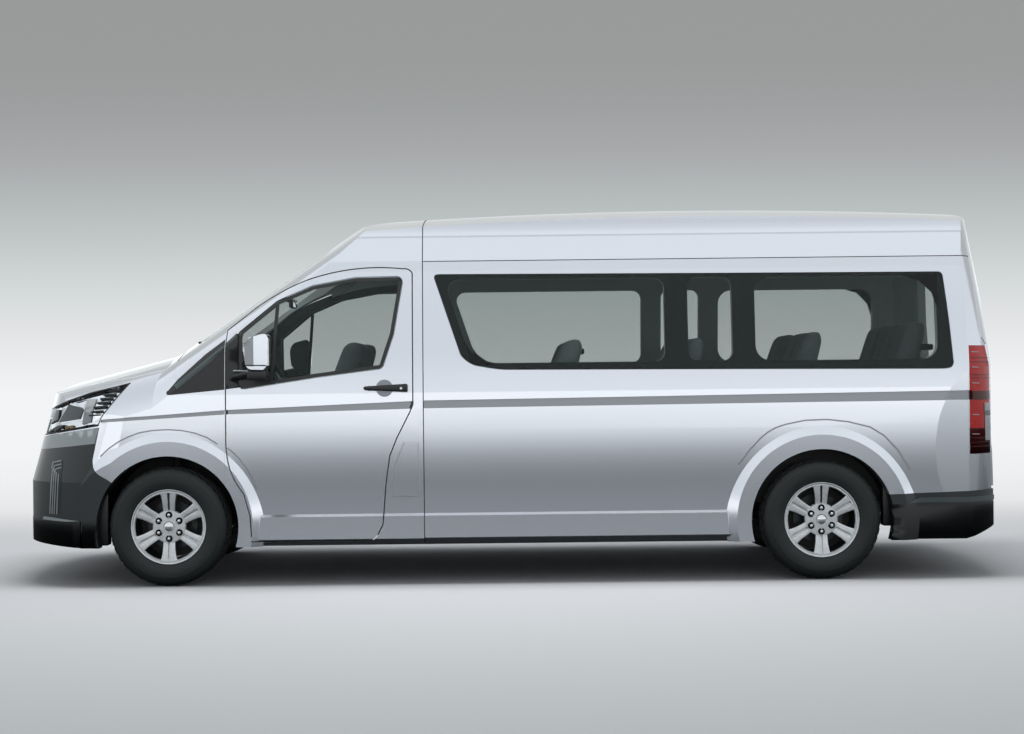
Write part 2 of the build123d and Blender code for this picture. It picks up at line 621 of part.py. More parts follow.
def dashboard():
    """Dashboard with the steering column's shroud."""
    front = BULKHEAD_X - 30 - SEAT_GAP
    face = outline((front, 1180), (front, 820), (1790, 800), (1640, 880), (1560, 1080), ((1560, 1200), (1640, 1240)))
    top = across(face, -CABIN_HALF + 2, CABIN_HALF - 2)
    start = Vector(*STEER_HUB) - Vector(*STEER_AXIS) * 62
    finish = Vector(*STEER_HUB) - Vector(*STEER_AXIS) * 330
    top += rod(tuple(start), tuple(finish), 48)
    bore_end = Vector(*STEER_HUB) - Vector(*STEER_AXIS) * (130 + SEAT_GAP)
    return top - rod(tuple(Vector(*STEER_HUB)), tuple(bore_end), 20 + SEAT_GAP)


def mirror_left():
    """Left-hand door mirror: arm rooted in the door's front corner, and its housing."""
    arm = rod((1606, 920, 1232), (1470, 1010, 1262), 26)
    housing = outline((1378, 1300), (1372, 1452), ((1385, 1478), (1412, 1480)), (1480, 1462), ((1508, 1420), (1512, 1372)),
                      (1505, 1318), ((1490, 1286), (1462, 1276)), (1400, 1274))
    shell = across(housing, 972, 1130)
    return arm + shell


def door_handle():
    """Left-hand pull handle over its bowl."""
    bar = box(592, 828, 972, 986, 1146, 1178)
    feet = box(592, 622, 930, 980, 1150, 1174) + box(798, 828, 930, 980, 1150, 1174)
    return bar + feet


def fuel_tank():
    return box(-560, 420, 500, 850, 282, FLOOR_TOP - FLOOR_THICK - SEAT_GAP)


def exhaust():
    """Pipe and silencer down the right-hand side, over the axle and out behind."""
    route = ((1500, -330, 395), (-1350, -330, 395), (-1600, -330, 468), (-2150, -330, 468),
             (-2450, -330, 395), (-2660, -540, 330), (-2840, -610, 312))
    path = FilletPolyline(*route, radius=60)
    pipe = sweep(Plane(origin=route[0], z_dir=(-1, 0, 0)) * Circle(24), path=path)
    silencer = box(-700, 100, -385, -215, 330, 470)
    hangers = box(-620, -580, -340, -320, 460, FLOOR_TOP - FLOOR_THICK - SEAT_GAP)
    hangers += box(0, 40, -340, -320, 460, FLOOR_TOP - FLOOR_THICK - SEAT_GAP)
    return pipe + silencer + hangers


def propeller_shaft():
    return rod((1300, 0, 420), (REAR_AXLE_X + 231, 0, WHEEL_RADIUS + 8), 36)


def engine_block():
    engine = box(2020, 2520, -290, 290, 340, 900)
    gearbox = box(1310, 1910, -150, 150, 330, FLOOR_TOP - FLOOR_THICK - SEAT_GAP)
    return engine + gearbox + box(1900, 2030, -150, 150, 340, 490)


# ---------------------------------------------------------------- the whole vehicle
def build():
    """Every node of the vehicle, by name."""
    cavity = hull(WALL, open_below=True)
    inner_zone = hull(GROOVE_DEPTH)
    outer = outer_form(inner_zone)
    shell = outer - cavity
    glass_floor = hull(GLASS + SEAT_GAP)
    glass_skin = hull(0) - hull(GLASS)
    nodes = {}

    def left(face, grow=0):
        return across(gapped(face, grow) if grow else face, 0, FAR)

    # Shut lines: each gap is shared by what moves and what stays.
    half_gap = PANEL_GAP / 2
    door_face = outline(*DOOR_OUTLINE)
    door_hole = both_sides(left(door_face, half_gap))
    door_block = left(door_face, -half_gap)
    door_edge = (door_block - left(door_face, -half_gap - EDGE_STEP)) & inner_zone
    lid_skin = outer - hull(LID_WALL, open_below=True)
    bonnet_hole = upright(gapped(bonnet_face(), BONNET_GAP / 2), BONNET_LIP_Z, FAR)
    bonnet_block = upright(gapped(bonnet_face(), -BONNET_GAP / 2), BONNET_LIP_Z + BONNET_GAP, FAR)
    gate_face = mirror_face_y(TAILGATE_HALF)
    gate_foot = box(-FAR, -2600, -TAILGATE_HALF[0][0], TAILGATE_HALF[0][0], TAILGATE_HALF[0][1] - 15,
                    TAILGATE_HALF[0][1] + 15)
    gate_hole = along(gapped(gate_face, half_gap), -FAR, -2600) + gate_foot
    gate_block = along(gapped(gate_face, -half_gap), -FAR, -2600)

    bonnet = lid_skin & bonnet_block
    tailgate = shell & gate_block
    door = (shell & door_block) - door_edge
    fixed = shell - door_hole - bonnet_hole - gate_hole

    # Inner frames round the door and tailgate openings, on which the closed panels rest.
    frame_skin = hull(WALL + SEAT_GAP, open_below=True) - hull(WALL + FLANGE_THICK, open_below=True)
    door_ring = (across(gapped(door_face, FLANGE_LAP), FRAME_INNER_Y, FAR)
                 - across(gapped(door_face, -FLANGE_LAP), FRAME_INNER_Y, FAR)) & box(0, FAR, 0, FAR, FRAME_FOOT_Z, FAR)
    gate_ring = along(gapped(gate_face, FLANGE_LAP), -FAR, -2600) - along(gapped(gate_face, -FLANGE_LAP), -FAR, -2600)
    door_ring -= box(PILLAR_FROM_X, FAR, 0, PILLAR_TO_Y, PILLAR_FROM_Z, FAR)
    gate_ring &= box(-FAR, 0, -FAR, FAR, 0, GATE_FRAME_TOP)
    nodes["aperture_frames"] = both_sides(frame_skin & door_ring) + (frame_skin & gate_ring)

    # Fuel flap on the left, over a pocket in the wall.
    flap_face = make_face(Polyline(*FUEL_FLAP, close=True))
    flap_depth = SIDE - 6 - FLAP_THICK
    flap = shell & across(gapped(flap_face, -half_gap), flap_depth, FAR)
    fixed -= across(gapped(flap_face, half_gap), flap_depth - SEAT_GAP, FAR)
    fixed -= across(gapped(flap_face, -12), flap_depth - 30, FAR)

    # Nose: headlamps, bumper and grille.
    lamp_face = outline(*HEADLAMP)
    lamps = both_sides(across(lamp_face, HEADLAMP_INNER_Y, FAR))
    nodes["headlamps"] = fixed & both_sides(across(gapped(lamp_face, -SEAM), HEADLAMP_INNER_Y + SEAM, FAR))
    fixed -= lamps
    grille_hole = box(2300, FAR, -GRILLE_HALF_WIDTH, GRILLE_HALF_WIDTH, GRILLE_BOTTOM, FAR)
    grille_skin = fixed & box(2300, FAR, SEAM - GRILLE_HALF_WIDTH, GRILLE_HALF_WIDTH - SEAM,
                              GRILLE_BOTTOM + SEAM, FAR)
    nodes["front_grille"] = grille(grille_skin)
    fixed -= grille_hole
    bumper_face = outline(*BUMPER_REAR)
    nodes["front_bumper"] = (fixed & across(gapped(bumper_face, -SEAM), -FAR, FAR)) + plate_plinth()
    fixed -= across(bumper_face, -FAR, FAR)

    # Tail: lamps and rear bumper.
    tail_face = outline(*TAIL_LAMP)
    nodes["tail_lamps"] = fixed & both_sides(across(gapped(tail_face, -SEAM), TAIL_LAMP_INNER_Y, FAR))
    fixed -= both_sides(across(tail_face, TAIL_LAMP_INNER_Y - 10, FAR))
    rear_face = outline(*REAR_BUMPER)
    nodes["rear_bumper"] = fixed & across(gapped(rear_face, -SEAM), -FAR, FAR)
    fixed -= across(rear_face, -FAR, FAR)

    # Cab: fenders, black garnish behind them, the screen frame.
    garnish_face = outline(*GARNISH)
    nodes["pillar_garnishes"] = fixed & both_sides(left(garnish_face, -SEAM))
    fixed -= both_sides(left(garnish_face))
    fender_face = outline(*FENDER_TOP, (FAR, FAR), (FAR, 0), (1656, 0))
    nodes["front_fenders"] = both_sides((fixed & left(fender_face, -SEAM)).solids().sort_by(SortBy.VOLUME)[-1])
    fixed -= across(fender_face, -FAR, FAR)
    ahead = fixed & box(ROOF_SEAM_X + SEAM, FAR, -FAR, FAR, 0, FAR)
    behind = fixed & box(-FAR, ROOF_SEAM_X, -FAR, FAR, 0, FAR)
    cab = ahead - screen_prism(0) - (screen_prism(SCREEN_LAP) - glass_floor)
    nodes["cab_frame"] = cab
    nodes["windscreen"] = glass_skin & screen_prism(SCREEN_LAP - GLASS_CLEAR)

    # Passenger body: roof, left wall, right wall and its sliding door.
    nodes["roof_panel"] = behind & box(-FAR, FAR, -FAR, FAR, GUTTER_SEAM_Z + SEAM, FAR)
    walls = behind & box(-FAR, FAR, -FAR, FAR, 0, GUTTER_SEAM_Z)
    band_face = outline(*WINDOW_BAND)
    panes = Sketch() + [pane_face(*row) for row in PANES]
    walls -= across(panes, -FAR, FAR)
    walls -= across(band_face, -FAR, FAR) - glass_floor
    nodes["body_side_left"] = walls & box(-FAR, FAR, 0, FAR, 0, FAR)
    right_wall = walls & box(-FAR, FAR, -FAR, 0, 0, FAR)
    slide_hole = box(SLIDING_DOOR_REAR_X, SLIDING_DOOR_FRONT_X, -FAR, 0, SLIDING_DOOR_SILL, GUTTER_SEAM_Z - 18)
    slide_block = box(SLIDING_DOOR_REAR_X + SEAM, SLIDING_DOOR_FRONT_X - SEAM, -FAR, 0,
                      SLIDING_DOOR_SILL + SEAM, GUTTER_SEAM_Z - 18 - SEAM)
    nodes["sliding_door"] = right_wall & slide_block
    nodes["body_side_right"] = right_wall - slide_hole
    band_glass = glass_skin & both_sides(left(band_face, -GLASS_CLEAR))
    nodes["side_windows"] = band_glass - box(WINDOW_SPLIT_X - 2, WINDOW_SPLIT_X + 2, -FAR, FAR, 0, FAR)

    # Moving panels with their glass.
    window_face = make_face(Polyline(*DOOR_WINDOW, close=True))
    window_face = fillet(window_face.vertices(), DOOR_WINDOW_CORNER)
    door_glass = glass_skin & left(window_face, GLASS_LAP - GLASS_CLEAR)
    door = door - left(window_face) - (left(window_face, GLASS_LAP) - glass_floor)
    nodes["front_door_left"] = door
    nodes["front_door_right"] = mirrored(door)
    nodes["door_glass_left"] = door_glass
    nodes["door_glass_right"] = mirrored(door_glass)
    nodes["bonnet"] = bonnet
    gate_window = mirror_face_y(TAILGATE_WINDOW)
    window_hole = along(gate_window, -FAR, -2500)
    nodes["tailgate"] = tailgate - window_hole - (along(gapped(gate_window, GLASS_LAP), -FAR, -2500) - glass_floor)
    nodes["tailgate_glass"] = glass_skin & along(gapped(gate_window, GLASS_LAP - GLASS_CLEAR), -FAR, -2700)
    nodes["fuel_flap"] = flap
    handle = door_handle() - outer
    nodes["door_handle_left"] = handle
    nodes["door_handle_right"] = mirrored(handle)
    side_mirror = mirror_left() - outer
    nodes["door_mirror_left"] = side_mirror
    nodes["door_mirror_right"] = mirrored(side_mirror)

    # Cabin and underbody.
    cabin = hull(WALL + FLANGE_THICK + SEAM, open_below=True)
    nodes["floor_pan"] = floor_pan(cabin)
    nodes["dashboard"] = dashboard() & cabin
    nodes["steering_wheel"] = steering_wheel()
    nodes["front_seats"] = front_seats()
    nodes["passenger_seats"] = passenger_seats()
    nodes["engine_block"] = engine_block()
    nodes["front_suspension"] = front_suspension()
    nodes["rear_axle"] = rear_axle()
    nodes["propeller_shaft"] = propeller_shaft()
    nodes["leaf_springs"] = both_sides(leaf_spring())
    nodes["fuel_tank"] = fuel_tank()
    nodes["exhaust"] = exhaust()
    nodes["knuckle_left"] = knuckle()
    nodes["knuckle_right"] = mirrored(nodes["knuckle_left"])
    for place, x in (("front", FRONT_AXLE_X), ("rear", REAR_AXLE_X)):
        wheel = rim(TRACK / 2, x)
        rubber = tyre(TRACK / 2, x)
        nodes[f"rim_{place}_left"] = wheel
        nodes[f"rim_{place}_right"] = mirrored(wheel)
        nodes[f"tyre_{place}_left"] = rubber
        nodes[f"tyre_{place}_right"] = mirrored(rubber)
    return nodes


if __name__ == "__main__":
    os.makedirs("parts", exist_ok=True)
    for name, shape in build().items():
        export_step(shape, f"parts/{name}.step")
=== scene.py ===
import json
import math

import bpy
from mathutils import Matrix, Vector
from mathutils.bvhtree import BVHTree


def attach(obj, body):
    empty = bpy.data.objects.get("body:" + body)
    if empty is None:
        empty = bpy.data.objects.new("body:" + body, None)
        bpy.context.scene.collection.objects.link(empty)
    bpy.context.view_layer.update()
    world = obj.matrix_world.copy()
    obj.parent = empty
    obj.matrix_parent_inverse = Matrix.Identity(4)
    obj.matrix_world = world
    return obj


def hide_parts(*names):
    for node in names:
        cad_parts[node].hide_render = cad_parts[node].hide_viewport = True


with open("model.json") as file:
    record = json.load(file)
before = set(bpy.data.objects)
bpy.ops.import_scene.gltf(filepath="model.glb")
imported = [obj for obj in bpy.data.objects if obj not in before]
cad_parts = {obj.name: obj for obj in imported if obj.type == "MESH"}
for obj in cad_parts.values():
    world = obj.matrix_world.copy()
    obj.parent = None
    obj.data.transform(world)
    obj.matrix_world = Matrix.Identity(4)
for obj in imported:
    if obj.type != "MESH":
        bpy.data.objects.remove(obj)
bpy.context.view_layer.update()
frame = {"nodes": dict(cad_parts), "record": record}

# A high-roof minibus.  Metres, +X forwards, +Y the vehicle's left, +Z up, ground at zero.
SLOT_OF = {entry["node"]: entry["material_slot"] for entry in frame["record"]["subparts"]}
SIDE_NAME = {1: "left", -1: "right"}      # by the sign of y
BODY_OF = {node: body for body, members in frame["record"]["behaviour"]["bodies"].items() for node in members}


# ---------------------------------------------------------------- colours and shader helpers
def linear(code):
    """An sRGB hex colour as the linear colour that a shader takes."""
    levels = [int(code[place:place + 2], 16) / 255 for place in (0, 2, 4)]
    return (*[v / 12.92 if v <= 0.04045 else ((v + 0.055) / 1.055) ** 2.4 for v in levels], 1.0)


def add_node(tree, kind, settings=None, sockets=None):
    """One shader node, with its settings, and with its sockets set to a value or linked to an output."""
    made = tree.nodes.new(kind)
    for name, value in (settings or {}).items():
        setattr(made, name, value)
    for name, value in (sockets or {}).items():
        if isinstance(value, bpy.types.NodeSocket):
            tree.links.new(value, made.inputs[name])
        else:
            made.inputs[name].default_value = value
    return made


def mixed(tree, share, first, second, output="Material Output"):
    """Ends a material, or the world, with a mix of two shaders."""
    mix = add_node(tree, "ShaderNodeMixShader", sockets={0: share, 1: first, 2: second})
    tree.links.new(mix.outputs["Shader"], tree.nodes[output].inputs["Surface"])


def material(name, colour, **surface):
    """A new material, and its tree and shader; surface gives the shader's other sockets."""
    made = bpy.data.materials.new(name)
    made.use_nodes = True
    tree = made.node_tree
    shader = tree.nodes["Principled BSDF"]
    shader.inputs["Base Color"].default_value = linear(colour)
    for socket, value in surface.items():
        shader.inputs[socket.replace("_", " ")].default_value = value
    return made, tree, shader


def stretch(tree, x=1.0, y=1.0, z=1.0):
    """Object coordinates, scaled so that a pattern is drawn out along an axis."""
    place = add_node(tree, "ShaderNodeTexCoord")
    return add_node(tree, "ShaderNodeMapping", sockets={
        "Vector": place.outputs["Object"], "Scale": (x, y, z)}).outputs["Vector"]


def mottle(tree, shader, grain_mm, dark, light, bump=0.0, bump_mm=0.1, detail=4.0, drawn=(1, 1, 1), rough=None):
    """Colour that wanders between dark and light in patches of grain_mm, with a bump to match."""
    noise = add_node(tree, "ShaderNodeTexNoise", sockets={
        "Vector": stretch(tree, *drawn), "Scale": 1000 / grain_mm, "Detail": detail, "Roughness": 0.6})
    ramp = add_node(tree, "ShaderNodeValToRGB", sockets={"Fac": noise.outputs["Fac"]})
    ramp.color_ramp.elements[0].position = 0.3
    ramp.color_ramp.elements[0].color = linear(dark)
    ramp.color_ramp.elements[1].position = 0.7
    ramp.color_ramp.elements[1].color = linear(light)
    tree.links.new(ramp.outputs["Color"], shader.inputs["Base Color"])
    if rough:
        spread = add_node(tree, "ShaderNodeMapRange", sockets={
            "Value": noise.outputs["Fac"], "From Min": 0.3, "From Max": 0.7, "To Min": rough[0], "To Max": rough[1]})
        tree.links.new(spread.outputs["Result"], shader.inputs["Roughness"])
    if bump:
        raised = add_node(tree, "ShaderNodeBump", sockets={
            "Strength": bump, "Distance": bump_mm / 1000, "Height": noise.outputs["Fac"]})
        tree.links.new(raised.outputs["Normal"], shader.inputs["Normal"])


# ---------------------------------------------------------------- finishes
def metallic_paint(name, dark, light, roughness=0.17):
    """Silver metallic paint under clear lacquer: aluminium flake gives it a soft, grey-blue shine."""
    made, tree, shader = material(name, light, Metallic=0.8, Roughness=roughness,
                                  Coat_Weight=0.6, Coat_Roughness=0.03)
    mottle(tree, shader, 2.0, dark, light, bump=0.03, bump_mm=0.02, detail=1.0)
    return made


def moulded(name, dark, light, roughness, grain_mm=1.6, bump=0.15):
    """Injection-moulded plastic with a fine etched grain."""
    made, tree, shader = material(name, dark, Roughness=roughness)
    mottle(tree, shader, grain_mm, dark, light, bump=bump, bump_mm=0.15)
    return made


def see_through(name, tint, clearness, surface, roughness=0.0):
    """Thin clear sheet: it lets a tinted part of what is behind through, and mirrors the studio on its face."""
    made, tree, shader = material(name, surface, Roughness=roughness, IOR=1.5)
    through = add_node(tree, "ShaderNodeBsdfTransparent", sockets={"Color": linear(tint)})
    mixed(tree, clearness, shader.outputs["BSDF"], through.outputs["BSDF"])
    return made


def tyre_rubber():
    """Cured black tyre rubber, matt, with a dusty bloom in random patches."""
    made, tree, shader = material("tyre_rubber", "0F1516", Roughness=0.6)
    mottle(tree, shader, 9, "0D1213", "161D1E", bump=0.15, bump_mm=0.3, rough=(0.55, 0.72))
    return made


def turned_alloy(name, dark, light, roughness):
    """Lacquered aluminium alloy, with the faint rings that turning leaves."""
    made, tree, shader = material(name, light, Metallic=0.75, Roughness=roughness,
                                  Coat_Weight=0.4, Coat_Roughness=0.06)
    mottle(tree, shader, 14, dark, light, bump=0.04, bump_mm=0.05, drawn=(1, 0.1, 1))
    return made


def woven_fabric(name, dark, light):
    """Woven polyester seat cloth, drawn at 6 mm so that the weave shows."""
    made, tree, shader = material(name, light, Roughness=0.92, Sheen_Weight=0.35)
    mottle(tree, shader, 40, dark, light, detail=3.0)
    wave = {"Vector": stretch(tree), "Scale": 1000 / 6 / 20, "Distortion": 0.6}
    warp = add_node(tree, "ShaderNodeTexWave", {"bands_direction": "Y"}, wave)
    weft = add_node(tree, "ShaderNodeTexWave", {"bands_direction": "Z"}, wave)
    both = add_node(tree, "ShaderNodeMath", {"operation": "ADD"}, {0: warp.outputs["Fac"], 1: weft.outputs["Fac"]})
    raised = add_node(tree, "ShaderNodeBump", sockets={
        "Strength": 0.3, "Distance": 0.0006, "Height": both.outputs["Value"]})
    tree.links.new(raised.outputs["Normal"], shader.inputs["Normal"])
    return made


def painted_steel(name, dark, light, roughness=0.6):
    """Chassis steel under black wax, with dust in its texture."""
    made, tree, shader = material(name, dark, Roughness=roughness)
    mottle(tree, shader, 30, dark, light, bump=0.25, bump_mm=0.4)
    return made


def chrome(name, colour="E8EAEC", roughness=0.08):
    """Vacuum-plated or chromed face: a bright mirror of the studio."""
    made, tree, shader = material(name, colour, Metallic=1.0, Roughness=roughness)
    mottle(tree, shader, 60, colour, colour, bump=0.02, bump_mm=0.05, detail=1.0)
    return made


def acrylic(name, dark, light, roughness=0.1):
    """Moulded acrylic lamp lens, glossy, over a reflector."""
    made, tree, shader = material(name, light, Roughness=roughness, Specular_IOR_Level=0.35)
    mottle(tree, shader, 24, dark, light, detail=2.0)
    return made


paint = metallic_paint("silver_metallic_paint", "C3C7CE", "CBCFD5")
# A darker copy of the silver paint: painted shade in the waist groove, along the arch creases, on the mirror caps'
# facets and in the handle bowls.
silver_paint_painted_shade = metallic_paint("silver_paint_with_painted_shade", "85898F", "8D9197", 0.4)
black_trim = moulded("satin_black_plastic", "0E1112", "171A1C", 0.42)
# Gloss black: the ceramic band round the side glass and the centre panel, and painted shade in the wheels' nut pockets.
gloss_black_and_painted_shade = moulded("gloss_black_band_and_painted_shade", "060808", "0B0D0E", 0.12, bump=0.0)
gloss_black_and_painted_shade.node_tree.nodes["Principled BSDF"].inputs["Specular IOR Level"].default_value = 0.2
seam_black = moulded("panel_sealer", "24282C", "30343A", 0.6)
cladding = moulded("charcoal_moulded_plastic", "131D1F", "1B2729", 0.36, grain_mm=3)
# Pale grey plastic: the blank plate and the vents' ribs and chevrons, and painted highlight on the front bumper's upper
# band and step.
pale_plastic_and_painted_highlight = moulded("satin_grey_plastic_and_painted_highlight", "B6BEBF", "C2CACB", 0.34, grain_mm=3)
# Mid grey plastic: the edge strips on the door corners and garnishes, and painted highlight on the rear bumper's step.
mid_grey_plastic_and_highlight = moulded("mid_grey_moulded_and_painted_highlight", "465152", "525D5E", 0.4, grain_mm=3)
grille_plastic = moulded("dark_grey_grille_plastic", "1A1E20", "24292B", 0.3)
glass = see_through("tinted_tempered_glass", "F3F6F5", 0.86, "4E5B58")
lamp_glass = see_through("clear_polycarbonate", "FAFCFD", 0.86, "20262A", 0.02)
rubber = tyre_rubber()
alloy = turned_alloy("machined_alloy", "BEC1C3", "D0D3D4", 0.46)
# A dark copy of the alloy: painted shade in the spokes' channels, in the rim's well and on the brake disc.
alloy_in_painted_shade = turned_alloy("alloy_in_painted_shade", "2C2F31", "3A3E40", 0.45)
cloth = woven_fabric("woven_seat_cloth", "969EA0", "AAB1B3")
insert_cloth = woven_fabric("woven_seat_insert", "7C8486", "8C9496")
lamp_grey = moulded("grey_projector_housing", "6A6F70", "7E8384", 0.3)
# Pale plastic: the headlamp's bowl and the mirrors' marker lamps, and painted highlight on the tail lamps' ribs.
pale_lamp_plastic_and_highlight = moulded("pale_reflector_and_painted_highlight", "C8CBCC", "D8DBDC", 0.25)
amber = acrylic("amber_acrylic", "D8AC6C", "E4BC80")
tail_red = acrylic("red_acrylic", "D80E10", "F01818", 0.2)
dark_red = acrylic("dark_red_acrylic", "4A060C", "60090F", 0.2)
clear_acrylic = acrylic("clear_ribbed_acrylic", "C9CDCF", "E4E8EA", 0.16)
mirror_chrome = chrome("plated_reflector")
bright_steel = chrome("bright_steel", "BFC2C4", 0.22)
underbody = painted_steel("waxed_chassis_steel", "0A0B0C", "141516")
cast = painted_steel("cast_iron", "2A2A2A", "3C3A38", 0.7)
interior_trim = moulded("grey_cabin_trim", "CDD3D1", "D8DDDB", 0.7, grain_mm=4)
headlining = moulded("pale_headlining", "DEE2E0", "E8EBE9", 0.9, grain_mm=5)
dash_plastic = moulded("charcoal_dash_plastic", "2A2C2F", "35373A", 0.6)

FINISHES = {"silver_paint": paint, "mirror_housing": paint, "black_trim": black_trim, "grille_trim": grille_plastic,
            "grey_cladding": cladding, "lamp_lens": lamp_glass, "red_lens": tail_red, "tinted_glass": glass,
            "underbody_steel": underbody, "dash_plastic": dash_plastic, "wheel_rubber": black_trim,
            "seat_fabric": cloth, "cast_metal": cast, "chassis_steel": underbody, "tank_plastic": black_trim,
            "exhaust_steel": cast, "alloy": alloy, "tyre": rubber}


# ---------------------------------------------------------------- modelling helpers
def clad(piece, *finishes):
    """Gives a piece these finishes in place of its own."""
    piece.data.materials.clear()
    for finish in finishes:
        piece.data.materials.append(finish)
    return piece


for name, part in frame["nodes"].items():
    clad(part, FINISHES[SLOT_OF[name]])


def only(piece):
    """Makes a piece the only one selected."""
    bpy.ops.object.select_all(action="DESELECT")
    piece.select_set(True)
    bpy.context.view_layer.objects.active = piece


def settle(piece, name, finish, body, slot=None):
    """Names a finished piece, gives it its finish and puts it on its body."""
    piece.name = name
    piece.data.name = name
    if finish is not None:
        clad(piece, finish)
    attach(piece, body)
    return piece


def raw_copy(node, name):
    """A panel's own surface again, as a new piece."""
    piece = bpy.data.objects.new(name, frame["nodes"][node].data.copy())
    bpy.context.scene.collection.objects.link(piece)
    return piece


def finished_panel(node, finishes, choose):
    """A panel in several finishes; choose(centre, normal) gives the number of each face's finish."""
    piece = clad(raw_copy(node, node + "_finished"), *finishes)
    for face in piece.data.polygons:
        face.material_index = choose(face.center, face.normal)
    settle(piece, node + "_finished", None, BODY_OF[node], SLOT_OF[node])
    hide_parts(node)


CABIN_X = (-2.5, 1.3)        # the cabin's middle line, which runs at CABIN_MIDDLE_Z
CABIN_MIDDLE_Z = 1.25
CABIN_FACING = -0.25         # a face turned this far from outwards looks into the cabin


def faces_cabin(centre, normal):
    """Whether a face of the shell looks into the cabin."""
    inside = Vector((min(max(centre.x, CABIN_X[0]), CABIN_X[1]), 0, CABIN_MIDDLE_Z))
    return (centre - inside).normalized().dot(normal) < CABIN_FACING


def select_where(piece, test, kind="FACE"):
    """Edit mode with just the faces selected whose place and normal pass the test, or the edges by their ends."""
    only(piece)
    bpy.ops.object.mode_set(mode="EDIT")
    bpy.ops.mesh.select_mode(type=kind)
    bpy.ops.mesh.select_all(action="DESELECT")
    bpy.ops.object.mode_set(mode="OBJECT")
    mesh = piece.data
    if kind == "FACE":
        for face in mesh.polygons:
            face.select = test(face.center, face.normal)
    else:
        for edge in mesh.edges:
            edge.select = all(test(mesh.vertices[number].co) for number in edge.vertices)
    bpy.ops.object.mode_set(mode="EDIT")


MERGE = 0.00005              # points closer than this are one


def select_whole(piece):
    """Edit mode with all of a piece selected."""
    only(piece)
    bpy.ops.object.mode_set(mode="EDIT")
    bpy.ops.mesh.select_all(action="SELECT")


def clean_up():
    """In edit mode: merges the points that lie together, and turns the faces outwards."""
    bpy.ops.mesh.select_all(action="SELECT")
    bpy.ops.mesh.remove_doubles(threshold=MERGE)
    bpy.ops.mesh.normals_make_consistent(inside=False)


def done():
    """Leaves edit mode."""
    bpy.ops.object.mode_set(mode="OBJECT")


def modify(piece, kind, **settings):
    """A modifier, applied at once."""
    only(piece)
    made = piece.modifiers.new(kind.title(), kind)
    for name, value in settings.items():
        setattr(made, name, value)
    bpy.ops.object.modifier_apply(modifier=made.name)


def smooth(piece, angle=35):
    """Smooth shading, but for edges sharper than the angle."""
    only(piece)
    bpy.ops.object.shade_smooth_by_angle(angle=math.radians(angle))


def bevelled(piece, width, segments=2):
    """Rounds a piece's sharp edges."""
    modify(piece, "BEVEL", width=width, segments=segments, limit_method="ANGLE", angle_limit=math.radians(35))
    smooth(piece)


def primitive(adds, scale=(1, 1, 1), **settings):
    """A new primitive, with its place, turn and size in its mesh; adds is the operator that makes it."""
    bpy.ops.object.select_all(action="DESELECT")
    adds(**settings)
    piece = bpy.context.active_object
    piece.scale = scale
    bpy.ops.object.transform_apply(location=True, rotation=True, scale=True)
    return piece


def block(low, high, bevel=0.0, segments=2):
    """A box between two corners, its edges rounded."""
    middle = [(a + b) / 2 for a, b in zip(low, high)]
    piece = primitive(bpy.ops.mesh.primitive_cube_add, [b - a for a, b in zip(low, high)], size=1, location=middle)
    if bevel:
        bevelled(piece, bevel, segments)
    return piece


def bar(start, end, radius, sides=24):
    """A round bar between two points."""
    start, end = Vector(start), Vector(end)
    run = end - start
    piece = primitive(bpy.ops.mesh.primitive_cylinder_add, vertices=sides, radius=radius, depth=run.length,
                      location=(start + end) / 2, rotation=run.to_track_quat("Z", "Y").to_euler())
    smooth(piece)
    return piece


def joined(pieces):
    """Several meshes as one piece, in the first one's place."""
    bpy.ops.object.select_all(action="DESELECT")
    for piece in pieces:
        piece.select_set(True)
    bpy.context.view_layer.objects.active = pieces[0]
    bpy.ops.object.join()
    return bpy.context.active_object


def copied(piece, matrix):
    """The piece again, with a mesh of its own, moved into place."""
    again = bpy.data.objects.new(piece.name, piece.data.copy())
    bpy.context.scene.collection.objects.link(again)
    again.data.transform(matrix)
    if matrix.determinant() < 0:
        again.data.flip_normals()
    return again


def turned(profile, segments=96, closed=True):
    """A ring or disc about the Y axis, pulled along a profile of (radius, y) from its first to its last point."""
    radius, y = profile[0]
    piece = primitive(bpy.ops.mesh.primitive_circle_add, vertices=segments, radius=radius, location=(0, y, 0),
                      rotation=(math.pi / 2, 0, 0))
    bpy.ops.object.mode_set(mode="EDIT")
    bpy.ops.mesh.select_all(action="SELECT")
    for (r0, y0), (r1, y1) in zip(profile, profile[1:]):
        bpy.ops.mesh.extrude_edges_move(TRANSFORM_OT_translate={"value": (0, y1 - y0, 0)})
        bpy.ops.transform.resize(value=(r1 / r0, 1, r1 / r0), center_override=(0, y1, 0))
    bpy.ops.mesh.select_all(action="SELECT")
    bpy.ops.mesh.remove_doubles(threshold=0.00001)
    if closed:
        bpy.ops.mesh.select_mode(type="EDGE")
        bpy.ops.mesh.select_all(action="DESELECT")
        bpy.ops.mesh.select_non_manifold()
        bpy.ops.mesh.edge_face_add()
    bpy.ops.mesh.select_all(action="SELECT")
    bpy.ops.mesh.normals_make_consistent(inside=False)
    bpy.ops.object.mode_set(mode="OBJECT")
    smooth(piece, 30)
    return piece


# ---------------------------------------------------------------- wheels
WHEEL_R = 0.352
HALF_TRACK = 0.837
AXLES = {"front": 1.9975, "rear": -1.8625}
NUT_CIRCLE = 0.0699
SPOKE_ROOT = 0.07            # the middle of a spoke's first panel, under the hub
SPOKE_ROWS = ((0.092, 0.034, 0.078), (0.125, 0.036, 0.085), (0.155, 0.039, 0.088), (0.18, 0.044, 0.0905),
              (0.2, 0.050, 0.0925), (0.2135, 0.056, 0.0935))      # radius, half width, face y
CHANNEL_HALF = 0.006         # half the width of a spoke's channel, which is darkened with painted shade
CHANNEL_FROM, CHANNEL_TO = 0.093, 0.2
CHANNEL_DEPTH = 0.013


